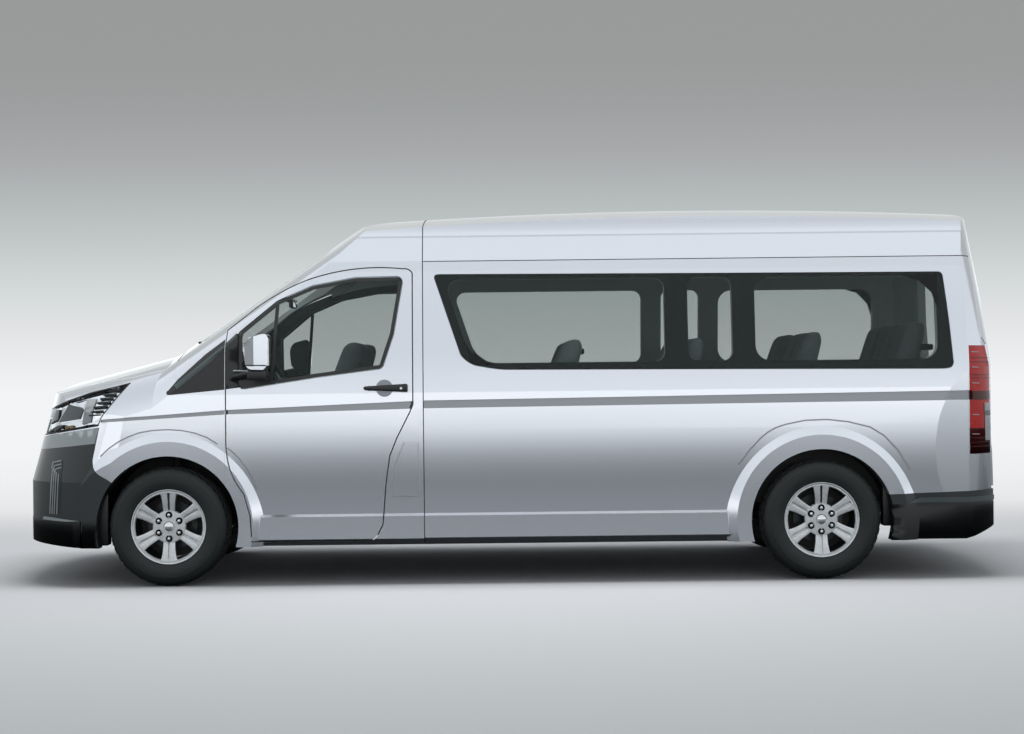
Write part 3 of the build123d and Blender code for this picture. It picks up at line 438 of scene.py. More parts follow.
def spoke():
    """One flared spoke, upright, with a channel down its middle that is darkened with painted shade."""
    radius, half, face_y = SPOKE_ROWS[0]
    piece = primitive(bpy.ops.mesh.primitive_grid_add, (2 * half, 2 * (radius - SPOKE_ROOT), 1), x_subdivisions=7,
                      y_subdivisions=1, size=1, rotation=(-math.pi / 2, 0, 0), location=(0, face_y, SPOKE_ROOT))
    for next_radius, next_half, next_y in SPOKE_ROWS[1:]:
        select_where(piece, lambda at, edge=radius: at.z > edge - 0.0005, "EDGE")
        bpy.ops.mesh.extrude_edges_move(TRANSFORM_OT_translate={"value": (0, next_y - face_y, next_radius - radius)})
        bpy.ops.transform.resize(value=(next_half / half, 1, 1), center_override=(0, next_y, next_radius))
        done()
        radius, half, face_y = next_radius, next_half, next_y
    select_where(piece, lambda at, normal: abs(at.x) < CHANNEL_HALF and CHANNEL_FROM < at.z < CHANNEL_TO)
    bpy.ops.mesh.extrude_region_move(TRANSFORM_OT_translate={"value": (0, -CHANNEL_DEPTH, 0)})
    done()
    # The channel's floor and walls take the dark alloy: painted shade.
    clad(piece, alloy, alloy_in_painted_shade)
    for face in piece.data.polygons:
        beside = abs(face.normal.y) < 0.5 and abs(face.center.x) < 2 * CHANNEL_HALF
        below = abs(face.center.x) < CHANNEL_HALF and CHANNEL_FROM < face.center.z < CHANNEL_TO
        face.material_index = 1 if below or beside else 0
    select_whole(piece)
    bpy.ops.mesh.normals_make_consistent(inside=False)
    done()
    if sum(face.normal.y * face.area for face in piece.data.polygons) < 0:
        piece.data.flip_normals()
    modify(piece, "SOLIDIFY", thickness=0.026, offset=-1)
    bevelled(piece, 0.0016)
    return piece


def wheel_face():
    """Six spokes on a hub with its nut pockets, all but the barrel; only the first has its channel darkened with
    painted shade, and each nut sits in a gloss black cup of painted shade.
    """
    first = spoke()
    spokes = [first] + [clad(copied(first, Matrix.Rotation(math.radians(60 * turn), 4, "Y")), alloy)
                        for turn in range(1, 6)]
    hub = clad(turned([(0.0005, 0.05), (0.099, 0.05), (0.099, 0.074), (0.094, 0.0795), (0.045, 0.0815),
                       (0.0005, 0.0815)]), alloy)
    cap = clad(turned([(0.0325, 0.0812), (0.0325, 0.0865), (0.030, 0.0895), (0.0275, 0.0880), (0.024, 0.0895),
                       (0.0005, 0.0915)], 48), bright_steel)
    pieces = spokes + [hub]
    for turn in range(6):
        around = Matrix.Rotation(math.radians(60 * turn), 4, "Y") @ Matrix.Translation((0, 0, NUT_CIRCLE))
        # Each nut sits in a gloss black cup: painted shade round it.
        pocket = turned([(0.0188, 0.0825), (0.0205, 0.0825), (0.0205, 0.0805), (0.0005, 0.0805), (0.0005, 0.0811),
                         (0.0188, 0.0811), (0.0188, 0.0825)], 32, closed=False)
        nut = turned([(0.0005, 0.081), (0.0115, 0.081), (0.0115, 0.09), (0.009, 0.0945), (0.0005, 0.0955)], 6)
        for each, finish in ((pocket, gloss_black_and_painted_shade), (nut, bright_steel)):
            each.data.transform(around)
            pieces.append(clad(each, finish))
    return joined(pieces + [cap])


def wheel_barrel():
    """The rim's barrel: bright flange and lip, and a well behind the spokes darkened with painted shade."""
    lip = turned([(0.2075, 0.086), (0.2135, 0.0985), (0.2190, 0.1005), (0.2217, 0.1000), (0.2217, 0.0942),
                  (0.2030, 0.0942), (0.1985, 0.088)], 128, closed=False)
    well = turned([(0.2070, 0.0880), (0.1925, 0.060), (0.1905, -0.060), (0.2020, -0.0940), (0.2130, -0.1000),
                   (0.2217, -0.1000), (0.2217, -0.0942), (0.2030, -0.0942), (0.1950, -0.062), (0.1968, 0.060),
                   (0.2075, 0.0890)], 128, closed=False)
    return joined([clad(lip, alloy), clad(well, alloy_in_painted_shade)])


def ring(inner, outer, front, back, finish):
    """A flat ring about the axle, between two radii and two places along it."""
    return clad(turned([(inner, front), (outer, front), (outer, back), (inner, back), (inner, front)], 64,
                       closed=False), finish)


def brake():
    """Brake disc with its bell and dust shield, behind the spokes; the disc is dark alloy, painted shade."""
    bell = turned([(0.0005, 0.048), (0.074, 0.048), (0.075, 0.045), (0.075, -0.060), (0.0005, -0.060)], 48)
    return joined([ring(0.06, 0.147, -0.036, -0.060, alloy_in_painted_shade), ring(0.140, 0.1903, -0.050, -0.055, cast),
                   clad(bell, cast)])


TYRE_HALF = [(0.2035, 0.0937), (0.2225, 0.0937), (0.2245, 0.1030), (0.2300, 0.1075), (0.2360, 0.1085), (0.2400, 0.1105),
             (0.2660, 0.1172), (0.2860, 0.1175), (0.3010, 0.1160), (0.3030, 0.1140), (0.3180, 0.1105), (0.3300, 0.1050),
             (0.3395, 0.0985), (0.3470, 0.0900), (0.3498, 0.0760), (0.3505, 0.0640), (0.3425, 0.0625), (0.3425, 0.0535),
             (0.3515, 0.0520), (0.3520, 0.0260), (0.3430, 0.0245), (0.3430, 0.0145), (0.3520, 0.0130)]


NOTCHES = ((0, 0.3395, 0.066, 0.006),     # in the shoulders: which of three steps, past which radius and y, depth
           (1, 0.3505, 0.026, 0.005))     # in the ribs


def tyre():
    """A tyre with a ribbed tread, side-wall rings and notched shoulders."""
    whole = TYRE_HALF + [(radius, -y) for radius, y in reversed(TYRE_HALF)] + [TYRE_HALF[0]]
    piece = clad(turned(whole, 120, closed=False), rubber)
    for turn, inner, beside, deep in NOTCHES:
        select_where(piece, lambda at, normal: math.floor(math.degrees(math.atan2(at.x, at.z)) / 3) % 3 == turn
                     and inner < math.hypot(at.x, at.z) and abs(at.y) > beside)
        bpy.ops.mesh.extrude_region_shrink_fatten(TRANSFORM_OT_shrink_fatten={"value": -deep})
        done()
    smooth(piece, 28)
    return piece


def wheels():
    """Four wheels, each with its tyre, rim and brake, modelled once."""
    models = {"tyre": tyre(), "rim": joined([wheel_face(), wheel_barrel(), brake()])}
    for place, x in AXLES.items():
        for side, facing in (("left", 0.0), ("right", math.pi)):
            seat = Matrix.Translation((x, HALF_TRACK if side == "left" else -HALF_TRACK, WHEEL_R))
            for kind, model in models.items():
                node = f"{kind}_{place}_{side}"
                piece = copied(model, seat @ Matrix.Rotation(facing, 4, "Z"))
                settle(piece, node + "_finished", None, BODY_OF[node], SLOT_OF[node])
                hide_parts(node)
    for model in models.values():
        bpy.data.objects.remove(model)


wheels()


# ---------------------------------------------------------------- body panels
CABIN_FLOOR_Z = 0.57
BAND_FROM_Y = 0.75           # the side glass's black band lies further out than this
OUTER_SKIN_Y = 0.85
BAND_FACING = 0.6            # how far outwards a face of the band, the lining or the groove is turned
LINING_FACING = -0.3
GROOVE_FACING = -0.1
GROOVE_SPARE = 0.001
WAIST_GROOVE = ((-2.760, 1.053, 1.108), (0.474, 1.037, 1.083), (1.638, 1.014, 1.040),
                (2.392, 0.973, 0.990))      # x, foot and top of the groove
WINDOW_BAND = ((0.414, 1.800), (0.263, 1.348), (0.201, 1.295), (0.110, 1.272), (0.030, 1.260), (-0.040, 1.257),
               (-2.590, 1.237), (-2.637, 1.245), (-2.651, 1.290), (-2.631, 1.550), (-2.607, 1.790), (-2.597, 1.809),
               (-2.570, 1.815), (0.383, 1.831), (0.411, 1.825))     # outline of the side glass, (x, z)


def in_groove(at):
    """Whether a place lies in the waist groove, as seen from the side."""
    for (x0, low0, high0), (x1, low1, high1) in zip(WAIST_GROOVE, WAIST_GROOVE[1:]):
        if x0 <= at.x <= x1:
            share = (at.x - x0) / (x1 - x0)
            low, high = low0 + share * (low1 - low0), high0 + share * (high1 - high0)
            return low - GROOVE_SPARE < at.z < high + GROOVE_SPARE
    return False


def in_band(at):
    """Whether a place lies inside the outline of the side glass, as seen from the side."""
    inside = False
    for (x0, z0), (x1, z1) in zip(WINDOW_BAND, WINDOW_BAND[1:] + WINDOW_BAND[:1]):
        if (z0 > at.z) != (z1 > at.z) and at.x < x0 + (x1 - x0) * (at.z - z0) / (z1 - z0):
            inside = not inside
    return inside and abs(at.y) > BAND_FROM_Y


def side_finish(lining_number, band_number=None):
    """A chooser for painted side panels: paint, painted shade in the groove, lining and, behind the glass, the black
    band.
    """
    def choose(centre, normal):
        outward = normal.y * (1 if centre.y > 0 else -1)
        if band_number and in_band(centre):
            return band_number if outward > BAND_FACING else lining_number
        if outward < LINING_FACING or faces_cabin(centre, normal):
            return lining_number
        # Faces in the waist groove take the darker paint: painted shade.
        if outward > GROOVE_FACING and in_groove(centre) and abs(centre.y) > OUTER_SKIN_Y:
            return 1
        return 0
    return choose


def dressed_panels():
    """Painted panels with their trimmed inner faces, and the black band behind the side glass."""
    for node in ("body_side_left", "body_side_right", "sliding_door"):
        finished_panel(node, (paint, silver_paint_painted_shade, interior_trim, gloss_black_and_painted_shade), side_finish(2, 3))
    for node in ("front_door_left", "front_door_right"):
        finished_panel(node, (paint, silver_paint_painted_shade, dash_plastic), side_finish(2))
    finished_panel("front_fenders", (paint, silver_paint_painted_shade, underbody), side_finish(2))
    for node, lining in (("roof_panel", headlining), ("cab_frame", headlining), ("tailgate", interior_trim),
                         ("bonnet", underbody)):
        finished_panel(node, (paint, lining), lambda centre, normal: 1 if faces_cabin(centre, normal) else 0)
    finished_panel("aperture_frames", (interior_trim,), lambda centre, normal: 0)
    finished_panel("floor_pan", (underbody, dash_plastic),
                   lambda centre, normal: 1 if centre.z > CABIN_FLOOR_Z and normal.z > 0.5 else 0)


dressed_panels()


CAB_SEAM_X = 0.487           # where the cab's fixed panels end
CAB_SEAM = (CAB_SEAM_X - 0.006, CAB_SEAM_X - 0.001)
GUTTER_Z = 1.911
SEAM_LIFT = 0.0006
SEAM_THICK = 0.0008


def seam(node, name, low, high):
    """A thin line of sealer laid on a panel's outer face, between two corners of a box."""
    piece = raw_copy(node, name)
    select_where(piece, lambda at, normal: faces_cabin(at, normal) or abs(normal.y) + abs(normal.z) < 0.35)
    bpy.ops.mesh.delete(type="FACE")
    for axis in range(3):
        along = [1.0 if place == axis else 0.0 for place in range(3)]
        for limit, cut in ((low[axis], {"clear_inner": True}), (high[axis], {"clear_outer": True})):
            bpy.ops.mesh.select_all(action="SELECT")
            bpy.ops.mesh.bisect(plane_co=[limit * part for part in along], plane_no=along, **cut)
    clean_up()
    bpy.ops.transform.shrink_fatten(value=SEAM_LIFT)
    done()
    modify(piece, "SOLIDIFY", thickness=SEAM_THICK, offset=1)
    settle(piece, name, seam_black, BODY_OF[node])


def seams():
    """Sealed joints between fixed panels, on both sides of the body."""
    for sign, side in SIDE_NAME.items():
        right, left = sorted((sign * 0.5, sign * 1.0))
        wall_panel = f"body_side_{side}"
        seam(wall_panel, f"cab_seam_{side}", (CAB_SEAM[0], right, 0.24), (CAB_SEAM[1], left, GUTTER_Z))
        seam("roof_panel", f"roof_cab_seam_{side}", (CAB_SEAM[0], min(0, sign), GUTTER_Z),
             (CAB_SEAM[1], max(0, sign), 2.3))
        seam(wall_panel, f"gutter_seam_{side}", (-2.86, right, GUTTER_Z - 0.005), (CAB_SEAM_X, left, GUTTER_Z - 0.001))
        seam(wall_panel, f"sill_seam_{side}", (-1.33, right, 0.272), (CAB_SEAM_X, left, 0.276))


seams()


# ---------------------------------------------------------------- patches laid on panels
def surface_patch(node, name, corners, finish, lift=0.0008, thick=0.0012, sides=(1, -1), towards=0.05):
    """Pieces of a panel's outer face inside a convex outline of (x, z), lifted a little and given a finish."""
    centre = Vector((sum(x for x, z in corners) / len(corners), 0, sum(z for x, z in corners) / len(corners)))
    for sign in sides:
        piece = raw_copy(node, name)
        select_where(piece, lambda at, normal: at.y * sign < 0 or normal.y * sign < -0.02
                     or normal.y * sign + max(0.0, normal.x) < towards)
        bpy.ops.mesh.delete(type="FACE")
        for (x0, z0), (x1, z1) in zip(corners, corners[1:] + corners[:1]):
            middle = Vector(((x0 + x1) / 2, 0, (z0 + z1) / 2))
            out = Vector((z1 - z0, 0, x0 - x1)).normalized()
            if out.dot(centre - middle) > 0:
                out.negate()
            bpy.ops.mesh.select_all(action="SELECT")
            bpy.ops.mesh.bisect(plane_co=middle, plane_no=out, clear_outer=True)
        clean_up()
        done()
        if not piece.data.polygons:
            bpy.data.objects.remove(piece)
            continue
        facing = sum(face.normal.y * sign * face.area for face in piece.data.polygons)
        select_whole(piece)
        if facing < 0:
            bpy.ops.mesh.flip_normals()
        bpy.ops.transform.shrink_fatten(value=lift)
        done()
        modify(piece, "SOLIDIFY", thickness=thick, offset=1)
        modify(piece, "DATA_TRANSFER", object=frame["nodes"][node], use_loop_data=True,
               data_types_loops={"CUSTOM_NORMAL"}, loop_mapping="POLYINTERP_NEAREST")
        settle(piece, f"{name}_{SIDE_NAME[sign]}", finish, BODY_OF[node])


def line_patch(node, name, start, end, width, finish, **settings):
    """A narrow patch along a line of (x, z)."""
    (x0, z0), (x1, z1) = start, end
    length = math.hypot(x1 - x0, z1 - z0)
    across = ((z0 - z1) / length * width / 2, (x1 - x0) / length * width / 2)
    corners = [(x0 + across[0], z0 + across[1]), (x1 + across[0], z1 + across[1]),
               (x1 - across[0], z1 - across[1]), (x0 - across[0], z0 - across[1])]
    surface_patch(node, name, corners, finish, **settings)


def lines_along(node, name, route, width, finish, closed=False, **settings):
    """Narrow patches from each point of a route to the next, numbered in turn."""
    ends = route[1:] + route[:1] if closed else route[1:]
    for number, (start, end) in enumerate(zip(route, ends)):
        line_patch(node, f"{name}_{number}", start, end, width, finish, **settings)


# ---------------------------------------------------------------- nose
HEADLAMP = ((2.239, 1.206), (2.384, 1.003), (2.406, 0.951), (2.850, 0.884), (2.960, 1.020), (2.765, 1.052),
            (2.480, 1.150))
LAMP_FITTINGS = (
    ("projector_rim", ((2.628, 1.094), (2.498, 1.070), (2.522, 0.985), (2.712, 0.964)), mirror_chrome, -0.019, 0.004),
    ("projector_block", ((2.617, 1.082), (2.510, 1.061), (2.532, 0.997), (2.689, 0.978)), lamp_grey, -0.014, 0.006),
    ("lamp_front_block", ((2.735, 1.046), (2.700, 1.052), (2.705, 0.990), (2.800, 0.960)), lamp_grey, -0.016, 0.004),
    ("lamp_lower_block", ((2.700, 0.955), (2.640, 0.962), (2.760, 0.905), (2.830, 0.905)), black_trim, -0.016, 0.004),
    ("lamp_bowl", ((2.500, 1.120), (2.440, 1.125), (2.460, 0.975), (2.520, 0.965)), pale_lamp_plastic_and_highlight, -0.018, 0.003),
    ("turn_signal", ((2.640, 0.952), (2.580, 0.960), (2.585, 0.938), (2.640, 0.930)), amber, -0.017, 0.004),
    ("lamp_rear_wedge", ((2.239, 1.206), (2.268, 1.170), (2.300, 1.182), (2.380, 1.178)), black_trim, -0.016, 0.003),
)                            # name, outline, finish, place behind the lens's face, thickness
LAMP_SLATS = (((2.388, 1.170), (2.300, 1.173)), ((2.402, 1.144), (2.318, 1.147)), ((2.415, 1.120), (2.332, 1.123)),
              ((2.431, 1.095), (2.343, 1.100)), ((2.446, 1.069), (2.358, 1.075)), ((2.460, 1.041), (2.381, 1.047)),
              ((2.473, 1.015), (2.400, 1.020)))
REFLECTOR_DEPTH = 0.022      # behind the lens
LAMP_TIP_X = 2.9             # the gasket stops short of the lamp's front tip


def headlamps():
    """Clear-fronted headlamps over a bright reflector, with a grey projector block and dark slats."""
    node = "headlamps"
    for sign, side in SIDE_NAME.items():
        lens = raw_copy(node, "headlamp_lens")
        select_where(lens, lambda at, normal: at.y * sign < 0 or faces_cabin(at, normal))
        bpy.ops.mesh.delete(type="FACE")
        done()
        back = copied(lens, Matrix.Identity(4))
        select_whole(back)
        bpy.ops.mesh.remove_doubles(threshold=MERGE)
        bpy.ops.transform.shrink_fatten(value=-REFLECTOR_DEPTH)
        done()
        settle(back, f"headlamp_reflector_{side}", mirror_chrome, BODY_OF[node])
        settle(lens, f"headlamp_lens_{side}", lamp_glass, BODY_OF[node], SLOT_OF[node])
        if sign > 0:
            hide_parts(node)
    for name, outline, finish, lift, thick in LAMP_FITTINGS:
        surface_patch(node, name, outline, finish, lift=lift, thick=thick)
    for number, (start, end) in enumerate(LAMP_SLATS):
        line_patch(node, f"lamp_slat_{number}", start, end, 0.0075, black_trim, lift=-0.016, thick=0.008)
    for number, (start, end) in enumerate(zip(HEADLAMP, HEADLAMP[1:] + HEADLAMP[:1])):
        if max(start[0], end[0]) <= LAMP_TIP_X:
            line_patch(node, f"lamp_gasket_{number}", start, end, 0.012, black_trim)


VENT_RIBS = (((2.722, 0.430), (2.702, 0.700)), ((2.706, 0.430), (2.688, 0.690)), ((2.690, 0.430), (2.674, 0.680)),
             ((2.672, 0.430), (2.658, 0.670)))
CHEVRONS = ((0.742, 0.0), (0.722, 0.006), (0.702, 0.012))      # height, and how far the next one steps back


def bumper():
    """Front bumper: a paler upper band that is painted highlight, a foot darkened with painted shade, corner vents with
    ribs and chevrons, and below them a step drawn as painted highlight.
    """
    node = "front_bumper"
    # The upper band in pale grey is painted highlight.
    surface_patch(node, "bumper_band_painted_highlight", [(2.405, 1.0), (2.405, 0.851), (2.985, 0.790), (2.985, 1.0)], pale_plastic_and_painted_highlight)
    # The black foot is painted shade, darker towards the bottom.
    surface_patch(node, "bumper_foot", [(2.300, 0.385), (2.985, 0.400), (2.985, 0.200), (2.300, 0.200)], black_trim)
    surface_patch(node, "bumper_vent", [(2.734, 0.429), (2.653, 0.430), (2.635, 0.750), (2.709, 0.736)], black_trim)
    for number, (foot, head) in enumerate(VENT_RIBS):
        line_patch(node, f"vent_rib_{number}", foot, head, 0.005, pale_plastic_and_painted_highlight, lift=0.002, thick=0.003)
    for number, (height, drop) in enumerate(CHEVRONS):
        knee = (2.700 - drop * 1.6, height - 0.006)
        for name, end in (("vent_chevron", (2.640, height + 0.006)),
                          ("vent_chevron_leg", (knee[0] + 0.008, height - 0.040))):
            line_patch(node, f"{name}_{number}", knee, end, 0.006, pale_plastic_and_painted_highlight, lift=0.002, thick=0.004)
    # The pale step is painted highlight on its ledge.
    surface_patch(node, "bumper_step", [(2.775, 0.395), (2.766, 0.412), (2.690, 0.408), (2.527, 0.392), (2.600, 0.388)],
                  pale_plastic_and_painted_highlight, lift=0.001, thick=0.006)


SKIRT_Y = (0.79, 0.87)       # inner and outer face, clear of a steered tyre


def wheelhouse_skirts():
    """Black skirts between each wheel and the bumper next to it."""
    for sign, side in SIDE_NAME.items():
        right, left = sorted(sign * y for y in SKIRT_Y)
        for name, low, high in (("wheelhouse_skirt", (2.366, right, 0.238), (2.455, left, 0.62)),
                                ("rear_wheelhouse_skirt", (-2.300, right, 0.305), (-2.236, left, 0.60))):
            settle(block(low, high, 0.012), f"{name}_{side}", black_trim, "vehicle_body")


FRONT_CREASE = ((2.394, 0.773), (2.340, 0.822), (2.284, 0.859), (2.222, 0.889), (2.159, 0.9115), (2.080, 0.924),
                (1.994, 0.928), (1.910, 0.922), (1.830, 0.905), (1.760, 0.878), (1.700, 0.840))
DOOR_CREASE = ((1.642, 0.816), (1.610, 0.790), (1.578, 0.759), (1.531, 0.698), (1.497, 0.632), (1.472, 0.572))
REAR_CREASE = ((-1.372, 0.685), (-1.438, 0.771), (-1.500, 0.8365), (-1.544, 0.873), (-1.595, 0.9005), (-1.649, 0.918),
               (-1.766, 0.941), (-1.894, 0.945), (-2.022, 0.930), (-2.150, 0.897), (-2.231, 0.846), (-2.312, 0.759),
               (-2.380, 0.644))
CREASE_THICK = 0.0006


def flare_lines():
    """Painted shade along the pressed crease round each wheel arch, drawn as thin lines of darker paint; the front one
    runs on over the door.
    """
    lines_along("front_fenders", "arch_crease_painted_shade", FRONT_CREASE, 0.008, silver_paint_painted_shade, thick=CREASE_THICK)
    for sign, side in SIDE_NAME.items():
        for node, name, route, width in ((f"front_door_{side}", "door_crease_painted_shade", DOOR_CREASE, 0.007),
                                         (f"body_side_{side}", "rear_crease_painted_shade", REAR_CREASE, 0.009)):
            lines_along(node, name, route, width, silver_paint_painted_shade, sides=(sign,), thick=CREASE_THICK)


headlamps()
bumper()
wheelhouse_skirts()
flare_lines()
# ---------------------------------------------------------------- sides
DOOR_GLASS = ((1.560, 1.172), (1.120, 1.238), (0.733, 1.286), (0.668, 1.480), (0.612, 1.806), (0.880, 1.802),
              (1.130, 1.757), (1.340, 1.668), (1.560, 1.488))


def door_trim():
    """Black front corner, glass rubbers and the division bar of each front door."""
    for sign, side in SIDE_NAME.items():
        door, pane = f"front_door_{side}", f"door_glass_{side}"
        surface_patch(door, "door_corner", [(1.655, 1.161), (1.657, 1.394), (1.588, 1.489), (1.561, 1.489),
                                            (1.561, 1.172)], black_trim, sides=(sign,))
        surface_patch(door, "door_corner_edge", [(1.655, 1.399), (1.655, 1.425), (1.588, 1.491), (1.588, 1.473)],
                      mid_grey_plastic_and_highlight, sides=(sign,), lift=0.001, thick=0.002)
        surface_patch(pane, "glass_corner", [(1.556, 1.176), (1.556, 1.268), (1.386, 1.222), (1.386, 1.202)],
                      black_trim, sides=(sign,))
        line_patch(pane, "division_bar", (1.342, 1.656), (1.381, 1.210), 0.021, black_trim, sides=(sign,), thick=0.005)
        lines_along(pane, "glass_rubber", DOOR_GLASS, 0.020, black_trim, closed=True, sides=(sign,), thick=0.002)
    line_patch("pillar_garnishes", "garnish_edge", (1.946, 1.176), (1.658, 1.408), 0.030, mid_grey_plastic_and_highlight)


MIRROR_ARM_Y = 0.9725        # where the arm ends and the cap begins
MIRROR_CAP_Z = 1.279         # the cap's foot
MIRROR_GLASS_Z = (1.29, 1.47)


def mirror_finish(at, normal):
    """Which of paint, black and mirror a face of the door mirror has."""
    if abs(at.y) < MIRROR_ARM_Y:
        return 1
    if normal.x < -0.8 and MIRROR_GLASS_Z[0] < at.z < MIRROR_GLASS_Z[1]:
        return 2
    return 1 if at.z < MIRROR_CAP_Z else 0


def mirrors():
    """Door mirrors: painted caps on black arms, with the mirror glass on their rear faces."""
    for sign, side in SIDE_NAME.items():
        node = f"door_mirror_{side}"
        finished_panel(node, (paint, black_trim, mirror_chrome), mirror_finish)
        # A darker facet on the cap's face: painted shade.
        surface_patch(node, "mirror_facet_painted_shade", [(1.456, 1.470), (1.510, 1.440), (1.506, 1.296), (1.456, 1.294)],
                      silver_paint_painted_shade, sides=(sign,), lift=0.0004, thick=0.0006)
        line_patch(node, "mirror_lip", (1.500, 1.302), (1.383, 1.299), 0.007, black_trim, sides=(sign,))
        low, high = sorted((sign * 0.985, sign * 1.118))
        foot = block((1.384, low, 1.214), (1.498, high, 1.276), 0.016, 3)
        settle(foot, f"mirror_foot_{side}", black_trim, BODY_OF[node])
        marker = bar((1.600, sign * 0.962, 1.271), (1.503, sign * 1.012, 1.268), 0.0035, 12)
        settle(marker, f"mirror_marker_{side}", pale_lamp_plastic_and_highlight, BODY_OF[node])


FRONT_END = 0.42             # height of a grip's front end, as a share of its own


def handle(low, high, name, body, slot=None):
    """A rounded grip whose front end tapers."""
    piece = block(low, high, 0.0)
    select_where(piece, lambda at, normal: normal.x > 0.9)
    bpy.ops.transform.resize(value=(1, 1, FRONT_END))
    done()
    bevelled(piece, min(b - a for a, b in zip(low, high)) * 0.46, 4)
    return settle(piece, name, black_trim, body, slot)


def door_handles():
    """Pull handles with their bowls, which are discs of painted shade, and the lock's bright face."""
    for sign, side in SIDE_NAME.items():
        node = f"door_handle_{side}"
        low, high = sorted((sign * 0.966, sign * 0.988))
        grip = handle((0.575, low, 1.135), (0.834, high, 1.184), node + "_finished", BODY_OF[node], SLOT_OF[node])
        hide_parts(node)
        # The bowl is a flat disc of the darker paint: painted shade for a recess that is not modelled.
        bowl = bar((0.712, sign * 0.930, 1.158), (0.712, sign * 0.9535, 1.158), 0.0505, 40)
        settle(bowl, f"handle_bowl_painted_shade_{side}", silver_paint_painted_shade, BODY_OF[node])
        lock = bar((0.612, sign * 0.975, 1.157), (0.612, sign * 0.990, 1.157), 0.0075, 16)
        settle(lock, f"door_lock_{side}", bright_steel, BODY_OF[node])
        for foot_x in (0.605, 0.800):
            foot = bar((foot_x, sign * 0.940, 1.159), (foot_x, sign * 0.975, 1.159), 0.014, 16)
            settle(foot, f"handle_foot_{side}_{int(foot_x * 1000)}", black_trim, BODY_OF[node])
    handle((-0.985, -0.988, 1.080), (-0.780, -0.968, 1.118), "sliding_door_handle", BODY_OF["sliding_door"])
    root = block((-0.965, -0.972, 1.085), (-0.800, -0.945, 1.113), 0.004)
    settle(root, "sliding_door_handle_root", black_trim, BODY_OF["sliding_door"])


PANE_CORNERS = (("front_pane_corner", (0.200, 1.288), ((0.040, 1.293), (0.127, 1.316), (0.195, 1.365), (0.243, 1.437))),
                ("rear_pane_corner", (-2.568, 1.798), ((-2.360, 1.796), (-2.460, 1.763), (-2.533, 1.690),
                                                       (-2.566, 1.590))))      # name, corner, arc across it


def pane_corners():
    """Black band carried round the wide corners of the first and last side panes."""
    for name, corner, arc in PANE_CORNERS:
        for number, (start, end) in enumerate(zip(arc, arc[1:])):
            surface_patch("side_windows", f"{name}_{number}", [corner, start, end], gloss_black_and_painted_shade)


LAMP_RIBS_Z = (1.335, 1.245, 1.151, 0.964, 0.849)
LAMP_LINES_Z = (1.300, 1.275, 1.200, 1.180, 0.825, 0.800, 0.775)
BACKWARDS = -0.6             # takes in faces that look to the rear as well as outwards


def tail_lamps():
    """Tail lamps in sections: ribs drawn as pale lines of painted highlight, a dark middle band, the darker foot and
    the clear reversing lamp.
    """
    node = "tail_lamps"
    surface_patch(node, "tail_lamp_band", [(-2.73, 1.051), (-2.73, 1.103), (-2.96, 1.102), (-2.96, 1.050)], dark_red,
                  towards=BACKWARDS)
    surface_patch(node, "tail_lamp_foot", [(-2.73, 0.72), (-2.73, 0.884), (-2.96, 0.880), (-2.96, 0.72)], dark_red,
                  towards=BACKWARDS)
    surface_patch(node, "reversing_lamp", [(-2.847, 1.031), (-2.99, 1.031), (-2.99, 0.808), (-2.853, 0.808)],
                  clear_acrylic, lift=0.0022, towards=BACKWARDS)
    surface_patch(node, "reversing_lamp_middle", [(-2.853, 0.985), (-2.99, 0.985), (-2.99, 0.955), (-2.853, 0.955)],
                  lamp_grey, lift=0.0036, towards=BACKWARDS)
    # The ribs are pale lines of painted highlight.
    for name, heights, front, rear, width, finish in (
            ("tail_lamp_rib_painted_highlight", LAMP_RIBS_Z, -2.757, -2.808, 0.0045, pale_lamp_plastic_and_highlight),
            ("tail_lamp_line", LAMP_LINES_Z, -2.75, -2.90, 0.004, dark_red)):
        for number, height in enumerate(heights):
            line_patch(node, f"{name}_{number}", (front, height), (rear, height - 0.002), width, finish, lift=0.002)


def rear_bumper():
    """Rear bumper: dark top, a paler step that runs out forwards, painted highlight on its ledge, and a black foot."""
    node = "rear_bumper"
    # The paler step is painted highlight on the ledge.
    surface_patch(node, "rear_bumper_step", [(-2.369, 0.449), (-2.439, 0.4785), (-2.97, 0.478), (-2.97, 0.449)],
                  mid_grey_plastic_and_highlight, lift=0.001, thick=0.004, towards=-0.9)
    surface_patch(node, "rear_bumper_foot", [(-2.10, 0.442), (-2.97, 0.442), (-2.97, 0.20), (-2.10, 0.20)], black_trim,
                  towards=-0.9)


door_trim()
mirrors()
door_handles()
pane_corners()
tail_lamps()
rear_bumper()
# ---------------------------------------------------------------- cabin
PAD_CAP = 0.014              # how far a pad may swell
SWELL_FRAMES = 20


def stuffed(piece):
    """Swells a pad with cloth under pressure, holds it within PAD_CAP of its start and rounds it off."""
    modify(piece, "REMESH", mode="VOXEL", voxel_size=0.02)
    start = [point.co.copy() for point in piece.data.vertices]
    only(piece)
    swell = piece.modifiers.new("Swell", "CLOTH")
    swell.settings.use_pressure = True
    swell.settings.uniform_pressure_force = 4
    swell.settings.effector_weights.gravity = 0
    swell.point_cache.frame_end = SWELL_FRAMES
    for number in range(1, SWELL_FRAMES + 1):
        bpy.context.scene.frame_set(number)
    swollen = piece.evaluated_get(bpy.context.evaluated_depsgraph_get()).data
    ends = [point.co.copy() for point in swollen.vertices]
    piece.modifiers.remove(swell)
    bpy.context.scene.frame_set(1)
    for point, begun, ended in zip(piece.data.vertices, start, ends):
        move = ended - begun
        if move.length > PAD_CAP:
            move *= PAD_CAP / move.length
        point.co = begun + move
    modify(piece, "SUBSURF", levels=1, render_levels=1)
    only(piece)
    bpy.ops.object.shade_smooth()
    return clad(piece, cloth, insert_cloth)


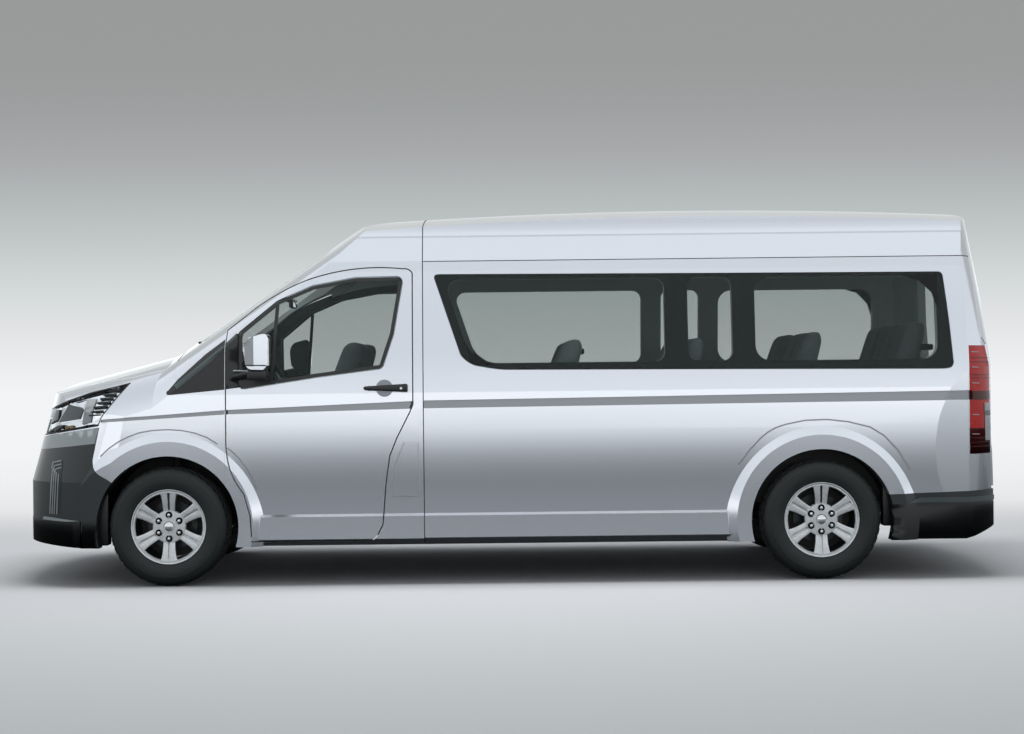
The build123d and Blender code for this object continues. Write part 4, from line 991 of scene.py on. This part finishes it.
def pad(low, high, lean=0.0, narrow=1.0):
    """A pad before it is stuffed: a rounded box whose top is leaned back and made thinner."""
    piece = block(low, high, 0.0)
    select_where(piece, lambda at, normal: normal.z > 0.9)
    bpy.ops.transform.translate(value=(lean, 0, 0))
    bpy.ops.transform.resize(value=(narrow, 0.94, 1))
    done()
    modify(piece, "BEVEL", width=0.032, segments=4, limit_method="ANGLE", angle_limit=math.radians(35))
    return piece


SEAT_ROWS = ((1.010, (0.170, 0.690), 1), (1.010, (-0.690, -0.170), 1),
             (-0.330, (0.040, 0.850), 2), (-0.330, (-0.850, -0.230), 1),
             (-1.060, (0.040, 0.850), 2), (-1.060, (-0.850, -0.230), 1),
             (-1.800, (0.040, 0.660), 2), (-1.800, (-0.660, -0.230), 1),
             (-2.440, (-0.640, 0.640), 3))      # back's place, (right edge, left edge), places
FRAME_X = (0.135, 0.470)                   # a seat's frame, ahead of the foot of its back
FRAME_Z = (0.5755, 0.858)
PAD_WIDTH = 0.42
PAD_GROWTH = 0.016                         # how much wider a pad is once stuffed
PLACE_GAP = 0.012
BACK_FOOT_Z = 0.9
TALLER = {6: 1.06, 7: 1.06, 8: 1.16}       # how much taller the backs of the last two rows are, by number
INSERT_HALF = 0.12                         # half the width of a pad's darker insert


def seats():
    """Benches of stuffed cushions and tall backs on plain frames, with a grab handle on each bench."""
    half = PAD_WIDTH / 2
    models = {"cushion": stuffed(pad((0.075, -half, 0.862), (0.560, half, 0.938))),
              "back": stuffed(pad((0.005, -half, BACK_FOOT_Z), (0.160, half, 1.448), -0.180, 0.55))}
    for piece in models.values():
        for face in piece.data.polygons:
            face.material_index = 1 if abs(face.center.y) < INSERT_HALF else 0
    for number, (back_x, (right, left), places) in enumerate(SEAT_ROWS):
        node = "front_seats" if back_x > 0 else "passenger_seats"
        width = (left - right) / places
        frame_piece = block((back_x + FRAME_X[0], right + 0.05, FRAME_Z[0]),
                            (back_x + FRAME_X[1], left - 0.05, FRAME_Z[1]), 0.02)
        settle(frame_piece, f"seat_frame_{number}", dash_plastic, BODY_OF[node], SLOT_OF[node])
        if number in (0, 2):
            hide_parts(node)
        for place in range(places):
            middle = right + (place + 0.5) * width
            for kind, model in models.items():
                spread = (width - PLACE_GAP) / (PAD_WIDTH + PAD_GROWTH)
                taller = TALLER.get(number, 1.0) if kind == "back" else 1.0
                piece = copied(model, Matrix.Translation((back_x, middle, BACK_FOOT_Z * (1 - taller)))
                               @ Matrix.Diagonal((1, spread, taller, 1)))
                settle(piece, f"seat_{kind}_{number}_{place}", None, BODY_OF[node])
        if back_x < 0:
            grip_y = right + 0.06 if right > 0 else left - 0.06
            grip = block((back_x - 0.178, grip_y - 0.025, 1.350), (back_x - 0.100, grip_y + 0.025, 1.388), 0.012, 3)
            settle(grip, f"grab_handle_{number}", black_trim, BODY_OF[node])
    for model in models.values():
        bpy.data.objects.remove(model)


STEER_RADIUS = 0.1745
RIM_RADIUS = 0.0152          # of the rim's own round section
STEER_HUB = Vector((1.395, 0.430, 1.215))
STEER_AXIS = Vector((-math.cos(math.radians(32)), 0, math.sin(math.radians(32))))


def steering_wheel():
    """A padded rim on three spokes, with a plain centre cover."""
    node = "steering_wheel"
    rim = primitive(bpy.ops.mesh.primitive_torus_add, major_radius=STEER_RADIUS, minor_radius=RIM_RADIUS,
                    major_segments=64, minor_segments=16, location=STEER_HUB,
                    rotation=STEER_AXIS.to_track_quat("Z", "Y").to_euler())
    smooth(rim, 60)
    cover = bar(STEER_HUB - STEER_AXIS * 0.05, STEER_HUB + STEER_AXIS * 0.002, 0.060, 40)
    bevelled(cover, 0.012, 3)
    down = STEER_AXIS.cross(Vector((0, 1, 0)))
    if down.z > 0:
        down.negate()
    spokes = [bar(STEER_HUB - STEER_AXIS * 0.012, STEER_HUB - STEER_AXIS * 0.006 + reach * 0.166, 0.011, 16)
              for reach in (Vector((0, 1, 0)), Vector((0, -1, 0)), down)]
    column = bar(STEER_HUB - STEER_AXIS * 0.130, STEER_HUB - STEER_AXIS * 0.045, 0.0195, 24)
    whole = joined([clad(piece, black_trim) for piece in (rim, cover, column, *spokes)])
    settle(whole, node + "_finished", None, BODY_OF[node], SLOT_OF[node])
    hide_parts(node)


PANEL_TREES = {}


def on_surface(node, place, lift=0.0):
    """The nearest place on a panel's face, lifted off it."""
    if node not in PANEL_TREES:
        mesh = frame["nodes"][node].data
        PANEL_TREES[node] = BVHTree.FromPolygons([point.co for point in mesh.vertices],
                                                 [tuple(face.vertices) for face in mesh.polygons])
    spot, normal = PANEL_TREES[node].find_nearest(Vector(place))[:2]
    return spot + normal * lift


def cab_fittings():
    """Instrument hood, centre panel, central mirror and wipers."""
    hood = block((1.575, 0.300, 1.190), (1.665, 0.560, 1.262), 0.022, 4)
    settle(hood, "instrument_hood", dash_plastic, "vehicle_body")
    panel = block((1.562, -0.16, 1.060), (1.590, 0.16, 1.190), 0.012, 3)
    settle(panel, "centre_panel", gloss_black_and_painted_shade, "vehicle_body")
    mirror = block((1.352, -0.115, 1.668), (1.378, 0.115, 1.728), 0.010, 3)
    face = block((1.3495, -0.106, 1.676), (1.3525, 0.106, 1.720), 0.001)
    settle(mirror, "central_mirror", black_trim, "vehicle_body")
    settle(face, "central_mirror_glass", mirror_chrome, "vehicle_body")
    stem = bar((1.372, 0, 1.705), on_surface("windscreen", (1.46, 0, 1.74)), 0.009, 16)
    settle(stem, "central_mirror_stem", black_trim, "vehicle_body")
    for name, pivot, tip in (("left", (1.885, 0.60, 1.466), (1.915, 0.10, 1.460)),
                             ("right", (1.915, -0.08, 1.460), (1.880, -0.60, 1.466))):
        foot = on_surface("windscreen", pivot, 0.003)
        end = on_surface("windscreen", tip, 0.003)
        arm = bar(foot, foot.lerp(end, 0.62), 0.006, 12)
        blade = bar(on_surface("windscreen", foot.lerp(end, 0.22), 0.003), on_surface("windscreen", end, 0.003),
                    0.004, 12)
        settle(joined([clad(piece, black_trim) for piece in (arm, blade)]), f"wiper_{name}", None, "vehicle_body")


def tail_fittings():
    """Tailgate handle, high brake lamp, bare plate and rear wiper."""
    body = BODY_OF["tailgate"]
    x = on_surface("tailgate", (-3.2, 0, 1.06)).x
    grip = block((x - 0.016, -0.30, 1.035), (x + 0.01, 0.30, 1.085), 0.010, 3)
    settle(grip, "tailgate_handle", black_trim, body)
    x = on_surface("tailgate", (-3.2, 0, 0.90)).x
    plate = block((x - 0.006, -0.26, 0.845), (x + 0.01, 0.26, 0.955), 0.003)
    settle(plate, "rear_plate_blank", pale_plastic_and_painted_highlight, body)
    x = on_surface("tailgate", (-3.2, 0, 1.95)).x
    brake_lamp = block((x - 0.008, -0.15, 1.935), (x + 0.02, 0.15, 1.962), 0.004)
    settle(brake_lamp, "high_brake_lamp", tail_red, body)
    pivot = on_surface("tailgate_glass", (-3.2, 0.02, 1.345), 0.016)
    end = on_surface("tailgate_glass", (-3.2, 0.46, 1.375), 0.012)
    arm = bar(pivot, pivot.lerp(end, 0.7), 0.006, 12)
    boss = bar(on_surface("tailgate_glass", (-3.2, 0.02, 1.345), -0.004), pivot, 0.018, 24)
    blade = bar(on_surface("tailgate_glass", pivot.lerp(end, 0.2), 0.005), on_surface("tailgate_glass", end, 0.005),
                0.005, 12)
    settle(joined([clad(piece, black_trim) for piece in (arm, boss, blade)]), "rear_wiper", None, body)


seats()
steering_wheel()
cab_fittings()
tail_fittings()


# ---------------------------------------------------------------- camera and studio
PICTURE_WIDTH = 1024         # pixels, as are the next two
FOCAL_LENGTH = 1692
CENTRE_SHIFT = 5.5
CAMERA_PLACE = (-0.0095, 10.93, 1.275)
CAMERA_ROLL = -0.64          # degrees


def studio_camera():
    """Camera at the vehicle's left, level and square to its side."""
    camera_data = bpy.data.cameras.new("camera")
    camera = bpy.data.objects.new("camera", camera_data)
    bpy.context.scene.collection.objects.link(camera)
    bpy.context.scene.camera = camera
    camera_data.sensor_width = 36
    camera_data.lens = FOCAL_LENGTH / PICTURE_WIDTH * camera_data.sensor_width
    camera_data.shift_x = CENTRE_SHIFT / PICTURE_WIDTH
    camera_data.clip_end = 200
    camera.matrix_world = (Matrix.Translation(CAMERA_PLACE) @ Matrix.Rotation(math.pi, 4, "Z")
                           @ Matrix.Rotation(math.pi / 2, 4, "X") @ Matrix.Rotation(math.radians(CAMERA_ROLL), 4, "Z"))
    bpy.context.scene.view_settings.view_transform = "Standard"


WALL_Y = -14.0
WALL_TONES = ((-1.0, "F3F4F6"), (1.0, "F2F3F5"), (1.9, "E2E3E5"), (2.6, "D1D7D7"), (3.2, "C2C8C8"),
              (3.85, "B3B8B9"), (4.45, "A8A9AB"), (5.1, "9EA0A1"), (5.8, "9A9B9B"), (7.5, "999B9A"))   # height
FLOOR_GLOW = ((-14.0, "F2F3F5"), (-8.2, "EEEFF1"), (-5.0, "E7E8EA"), (-3.2, "E2E3E5"), (-1.0, "DEDFE1"))   # y
# What the floor shows to all rays but the camera's, by y: a painted shadow round the vehicle, a brighter band beyond it
# for paint to mirror, and mid grey further out.
FLOOR_SHADOW_AND_REFLECTED_TONES = ((-14.0, "686B6E"), (-7.0, "6A6D70"), (-4.6, "A6A9AC"), (-2.3, "A6A9AC"), (-1.3, "2A2C2E"),
                  (1.3, "2A2C2E"), (2.3, "A6A9AC"), (4.6, "A6A9AC"), (7.0, "6A6D70"), (20.0, "686B6E"))    # y
# The floor's colour as the camera sees it, by y: darker towards the camera, a painted fall-off of light.
FLOOR_TONES = ((-3.0, "DADBDD"), (0.0, "DADBDD"), (1.2, "D6D7D9"), (3.0, "CFD2D3"), (5.0, "C9CCCD"), (8.0, "C6C9CA"))


def toned(ramp, tones):
    """Gives a colour ramp its tones of (place, colour), spread over its whole length."""
    low, high = tones[0][0], tones[-1][0]
    while len(ramp.color_ramp.elements) < len(tones):
        ramp.color_ramp.elements.new(0.5)
    for element, (at, colour) in zip(ramp.color_ramp.elements, tones):
        element.position = (at - low) / (high - low)
        element.color = linear(colour)


def tone_ramp(tree, axis, tones):
    """A soft gradient along an axis of the stage, through tones of (place, colour), and the place itself."""
    place = add_node(tree, "ShaderNodeTexCoord")
    split = add_node(tree, "ShaderNodeSeparateXYZ", sockets={"Vector": place.outputs["Object"]})
    along = add_node(tree, "ShaderNodeMapRange", sockets={
        "Value": split.outputs[axis], "From Min": tones[0][0], "From Max": tones[-1][0]})
    ramp = add_node(tree, "ShaderNodeValToRGB", sockets={"Fac": along.outputs["Result"]})
    toned(ramp, tones)
    return ramp.outputs["Color"], split.outputs[axis]


def either(tree, first, second):
    """The larger of two values, which is 1 where either kind of ray is."""
    return add_node(tree, "ShaderNodeMath", {"operation": "MAXIMUM"}, {0: first, 1: second}).outputs["Value"]


def stage_plane(name, place, turn, size, made):
    """A plane of the studio, which is no part of the vehicle."""
    piece = primitive(bpy.ops.mesh.primitive_plane_add, (*size, 1), size=1, location=place, rotation=(turn, 0, 0))
    piece.name = name
    piece.data.materials.append(made)


def wall():
    """Seamless studio wall behind the vehicle, dark at the top and pale at its foot."""
    made, tree, shader = material("painted_studio_wall", "B8BABC", Roughness=0.9)
    tone = tone_ramp(tree, "Z", WALL_TONES)[0]
    rays = add_node(tree, "ShaderNodeLightPath")
    strength = add_node(tree, "ShaderNodeMapRange", sockets={
        "Value": rays.outputs["Is Glossy Ray"], "To Min": 1.0, "To Max": 2.1})
    glow = add_node(tree, "ShaderNodeEmission", sockets={"Color": tone, "Strength": strength.outputs["Result"]})
    seen = either(tree, rays.outputs["Is Camera Ray"], rays.outputs["Is Transmission Ray"])
    seen = either(tree, seen, rays.outputs["Is Glossy Ray"])
    mixed(tree, seen, shader.outputs["BSDF"], glow.outputs["Emission"])
    stage_plane("studio_wall", (0, WALL_Y, 9), math.pi / 2, (90, 26), made)


def floor():
    """Pale studio floor, which runs into the wall without an edge and keeps the vehicle's shadow; to reflections and
    bounced light it shows a painted shadow round the vehicle, and to the camera it darkens towards the camera as
    painted fall-off of light.
    """
    made, tree, shader = material("painted_studio_floor", "DADBDD", Roughness=0.95)
    tone = tone_ramp(tree, "Y", FLOOR_TONES)[0]
    rays = add_node(tree, "ShaderNodeLightPath")
    shown = add_node(tree, "ShaderNodeMix", {"data_type": "RGBA"}, {0: rays.outputs["Is Camera Ray"]})
    shadow_and_reflected_tone = tone_ramp(tree, "Y", FLOOR_SHADOW_AND_REFLECTED_TONES)[0]
    tree.links.new(shadow_and_reflected_tone, shown.inputs[6])
    tree.links.new(tone, shown.inputs[7])
    tree.links.new(shown.outputs[2], shader.inputs["Base Color"])
    far_tone, depth = tone_ramp(tree, "Y", FLOOR_GLOW)
    glow = add_node(tree, "ShaderNodeEmission", sockets={"Color": far_tone, "Strength": 1.0})
    far = add_node(tree, "ShaderNodeMapRange", {"interpolation_type": "SMOOTHSTEP"}, {
        "Value": depth, "From Min": -1.2, "From Max": -5.0, "To Min": 0.0, "To Max": 1.0})
    seen = either(tree, rays.outputs["Is Camera Ray"], rays.outputs["Is Transmission Ray"])
    share = add_node(tree, "ShaderNodeMath", {"operation": "MULTIPLY"}, {0: far.outputs["Result"], 1: seen})
    mixed(tree, share.outputs["Value"], shader.outputs["BSDF"], glow.outputs["Emission"])
    stage_plane("studio_floor", (0, 3, 0), 0, (90, 34), made)


SOFTBOX_PLACE = (0, 0.6, 8.5)
SOFTBOX_SIZE = (6.5, 2.6)
SOFTBOX_POWER = 560          # watts
AMBIENT = "B4B8BC"           # plain light from all round
MIRRORED_STRENGTH = 2.2      # what paint, glass and metal mirror: a bright band round the horizon, dark below it
MIRRORED_TONES = ((0.0, "181A1C"), (0.425, "24272A"), (0.447, "33373B"), (0.467, "4C5155"), (0.486, "93989C"),
                  (0.502, "F4F6F7"), (0.53, "FFFFFF"), (0.548, "DFE2E5"), (0.562, "C4C7CA"), (0.61, "BEC1C4"),
                  (0.68, "C6C9CC"), (0.80, "CED1D4"), (1.0, "A9ACAF"))


def softbox():
    """One large soft panel overhead, which shows in no reflection."""
    data = bpy.data.lights.new("overhead_softbox", "AREA")
    data.shape = "RECTANGLE"
    data.size, data.size_y = SOFTBOX_SIZE
    data.energy = SOFTBOX_POWER
    piece = bpy.data.objects.new("overhead_softbox", data)
    bpy.context.scene.collection.objects.link(piece)
    piece.location = SOFTBOX_PLACE
    piece.rotation_euler = (-Vector(SOFTBOX_PLACE)).to_track_quat("-Z", "Y").to_euler()
    piece.visible_glossy = False


def lighting():
    """Even light from all round, with a brighter horizon for what mirrors it."""
    world = bpy.data.worlds.new("studio_light")
    bpy.context.scene.world = world
    world.use_nodes = True
    tree = world.node_tree
    plain = tree.nodes["Background"]
    plain.inputs["Color"].default_value = linear(AMBIENT)
    plain.inputs["Strength"].default_value = 0.8
    place = add_node(tree, "ShaderNodeTexCoord")
    split = add_node(tree, "ShaderNodeSeparateXYZ", sockets={"Vector": place.outputs["Generated"]})
    rise = add_node(tree, "ShaderNodeMapRange", sockets={
        "Value": split.outputs["Z"], "From Min": -1.0, "From Max": 1.0})
    ramp = add_node(tree, "ShaderNodeValToRGB", sockets={"Fac": rise.outputs["Result"]})
    toned(ramp, MIRRORED_TONES)
    mirrored = add_node(tree, "ShaderNodeBackground", sockets={
        "Color": ramp.outputs["Color"], "Strength": MIRRORED_STRENGTH})
    rays = add_node(tree, "ShaderNodeLightPath")
    mixed(tree, rays.outputs["Is Glossy Ray"], plain.outputs["Background"], mirrored.outputs["Background"],
          "World Output")


studio_camera()
wall()
floor()
lighting()
softbox()
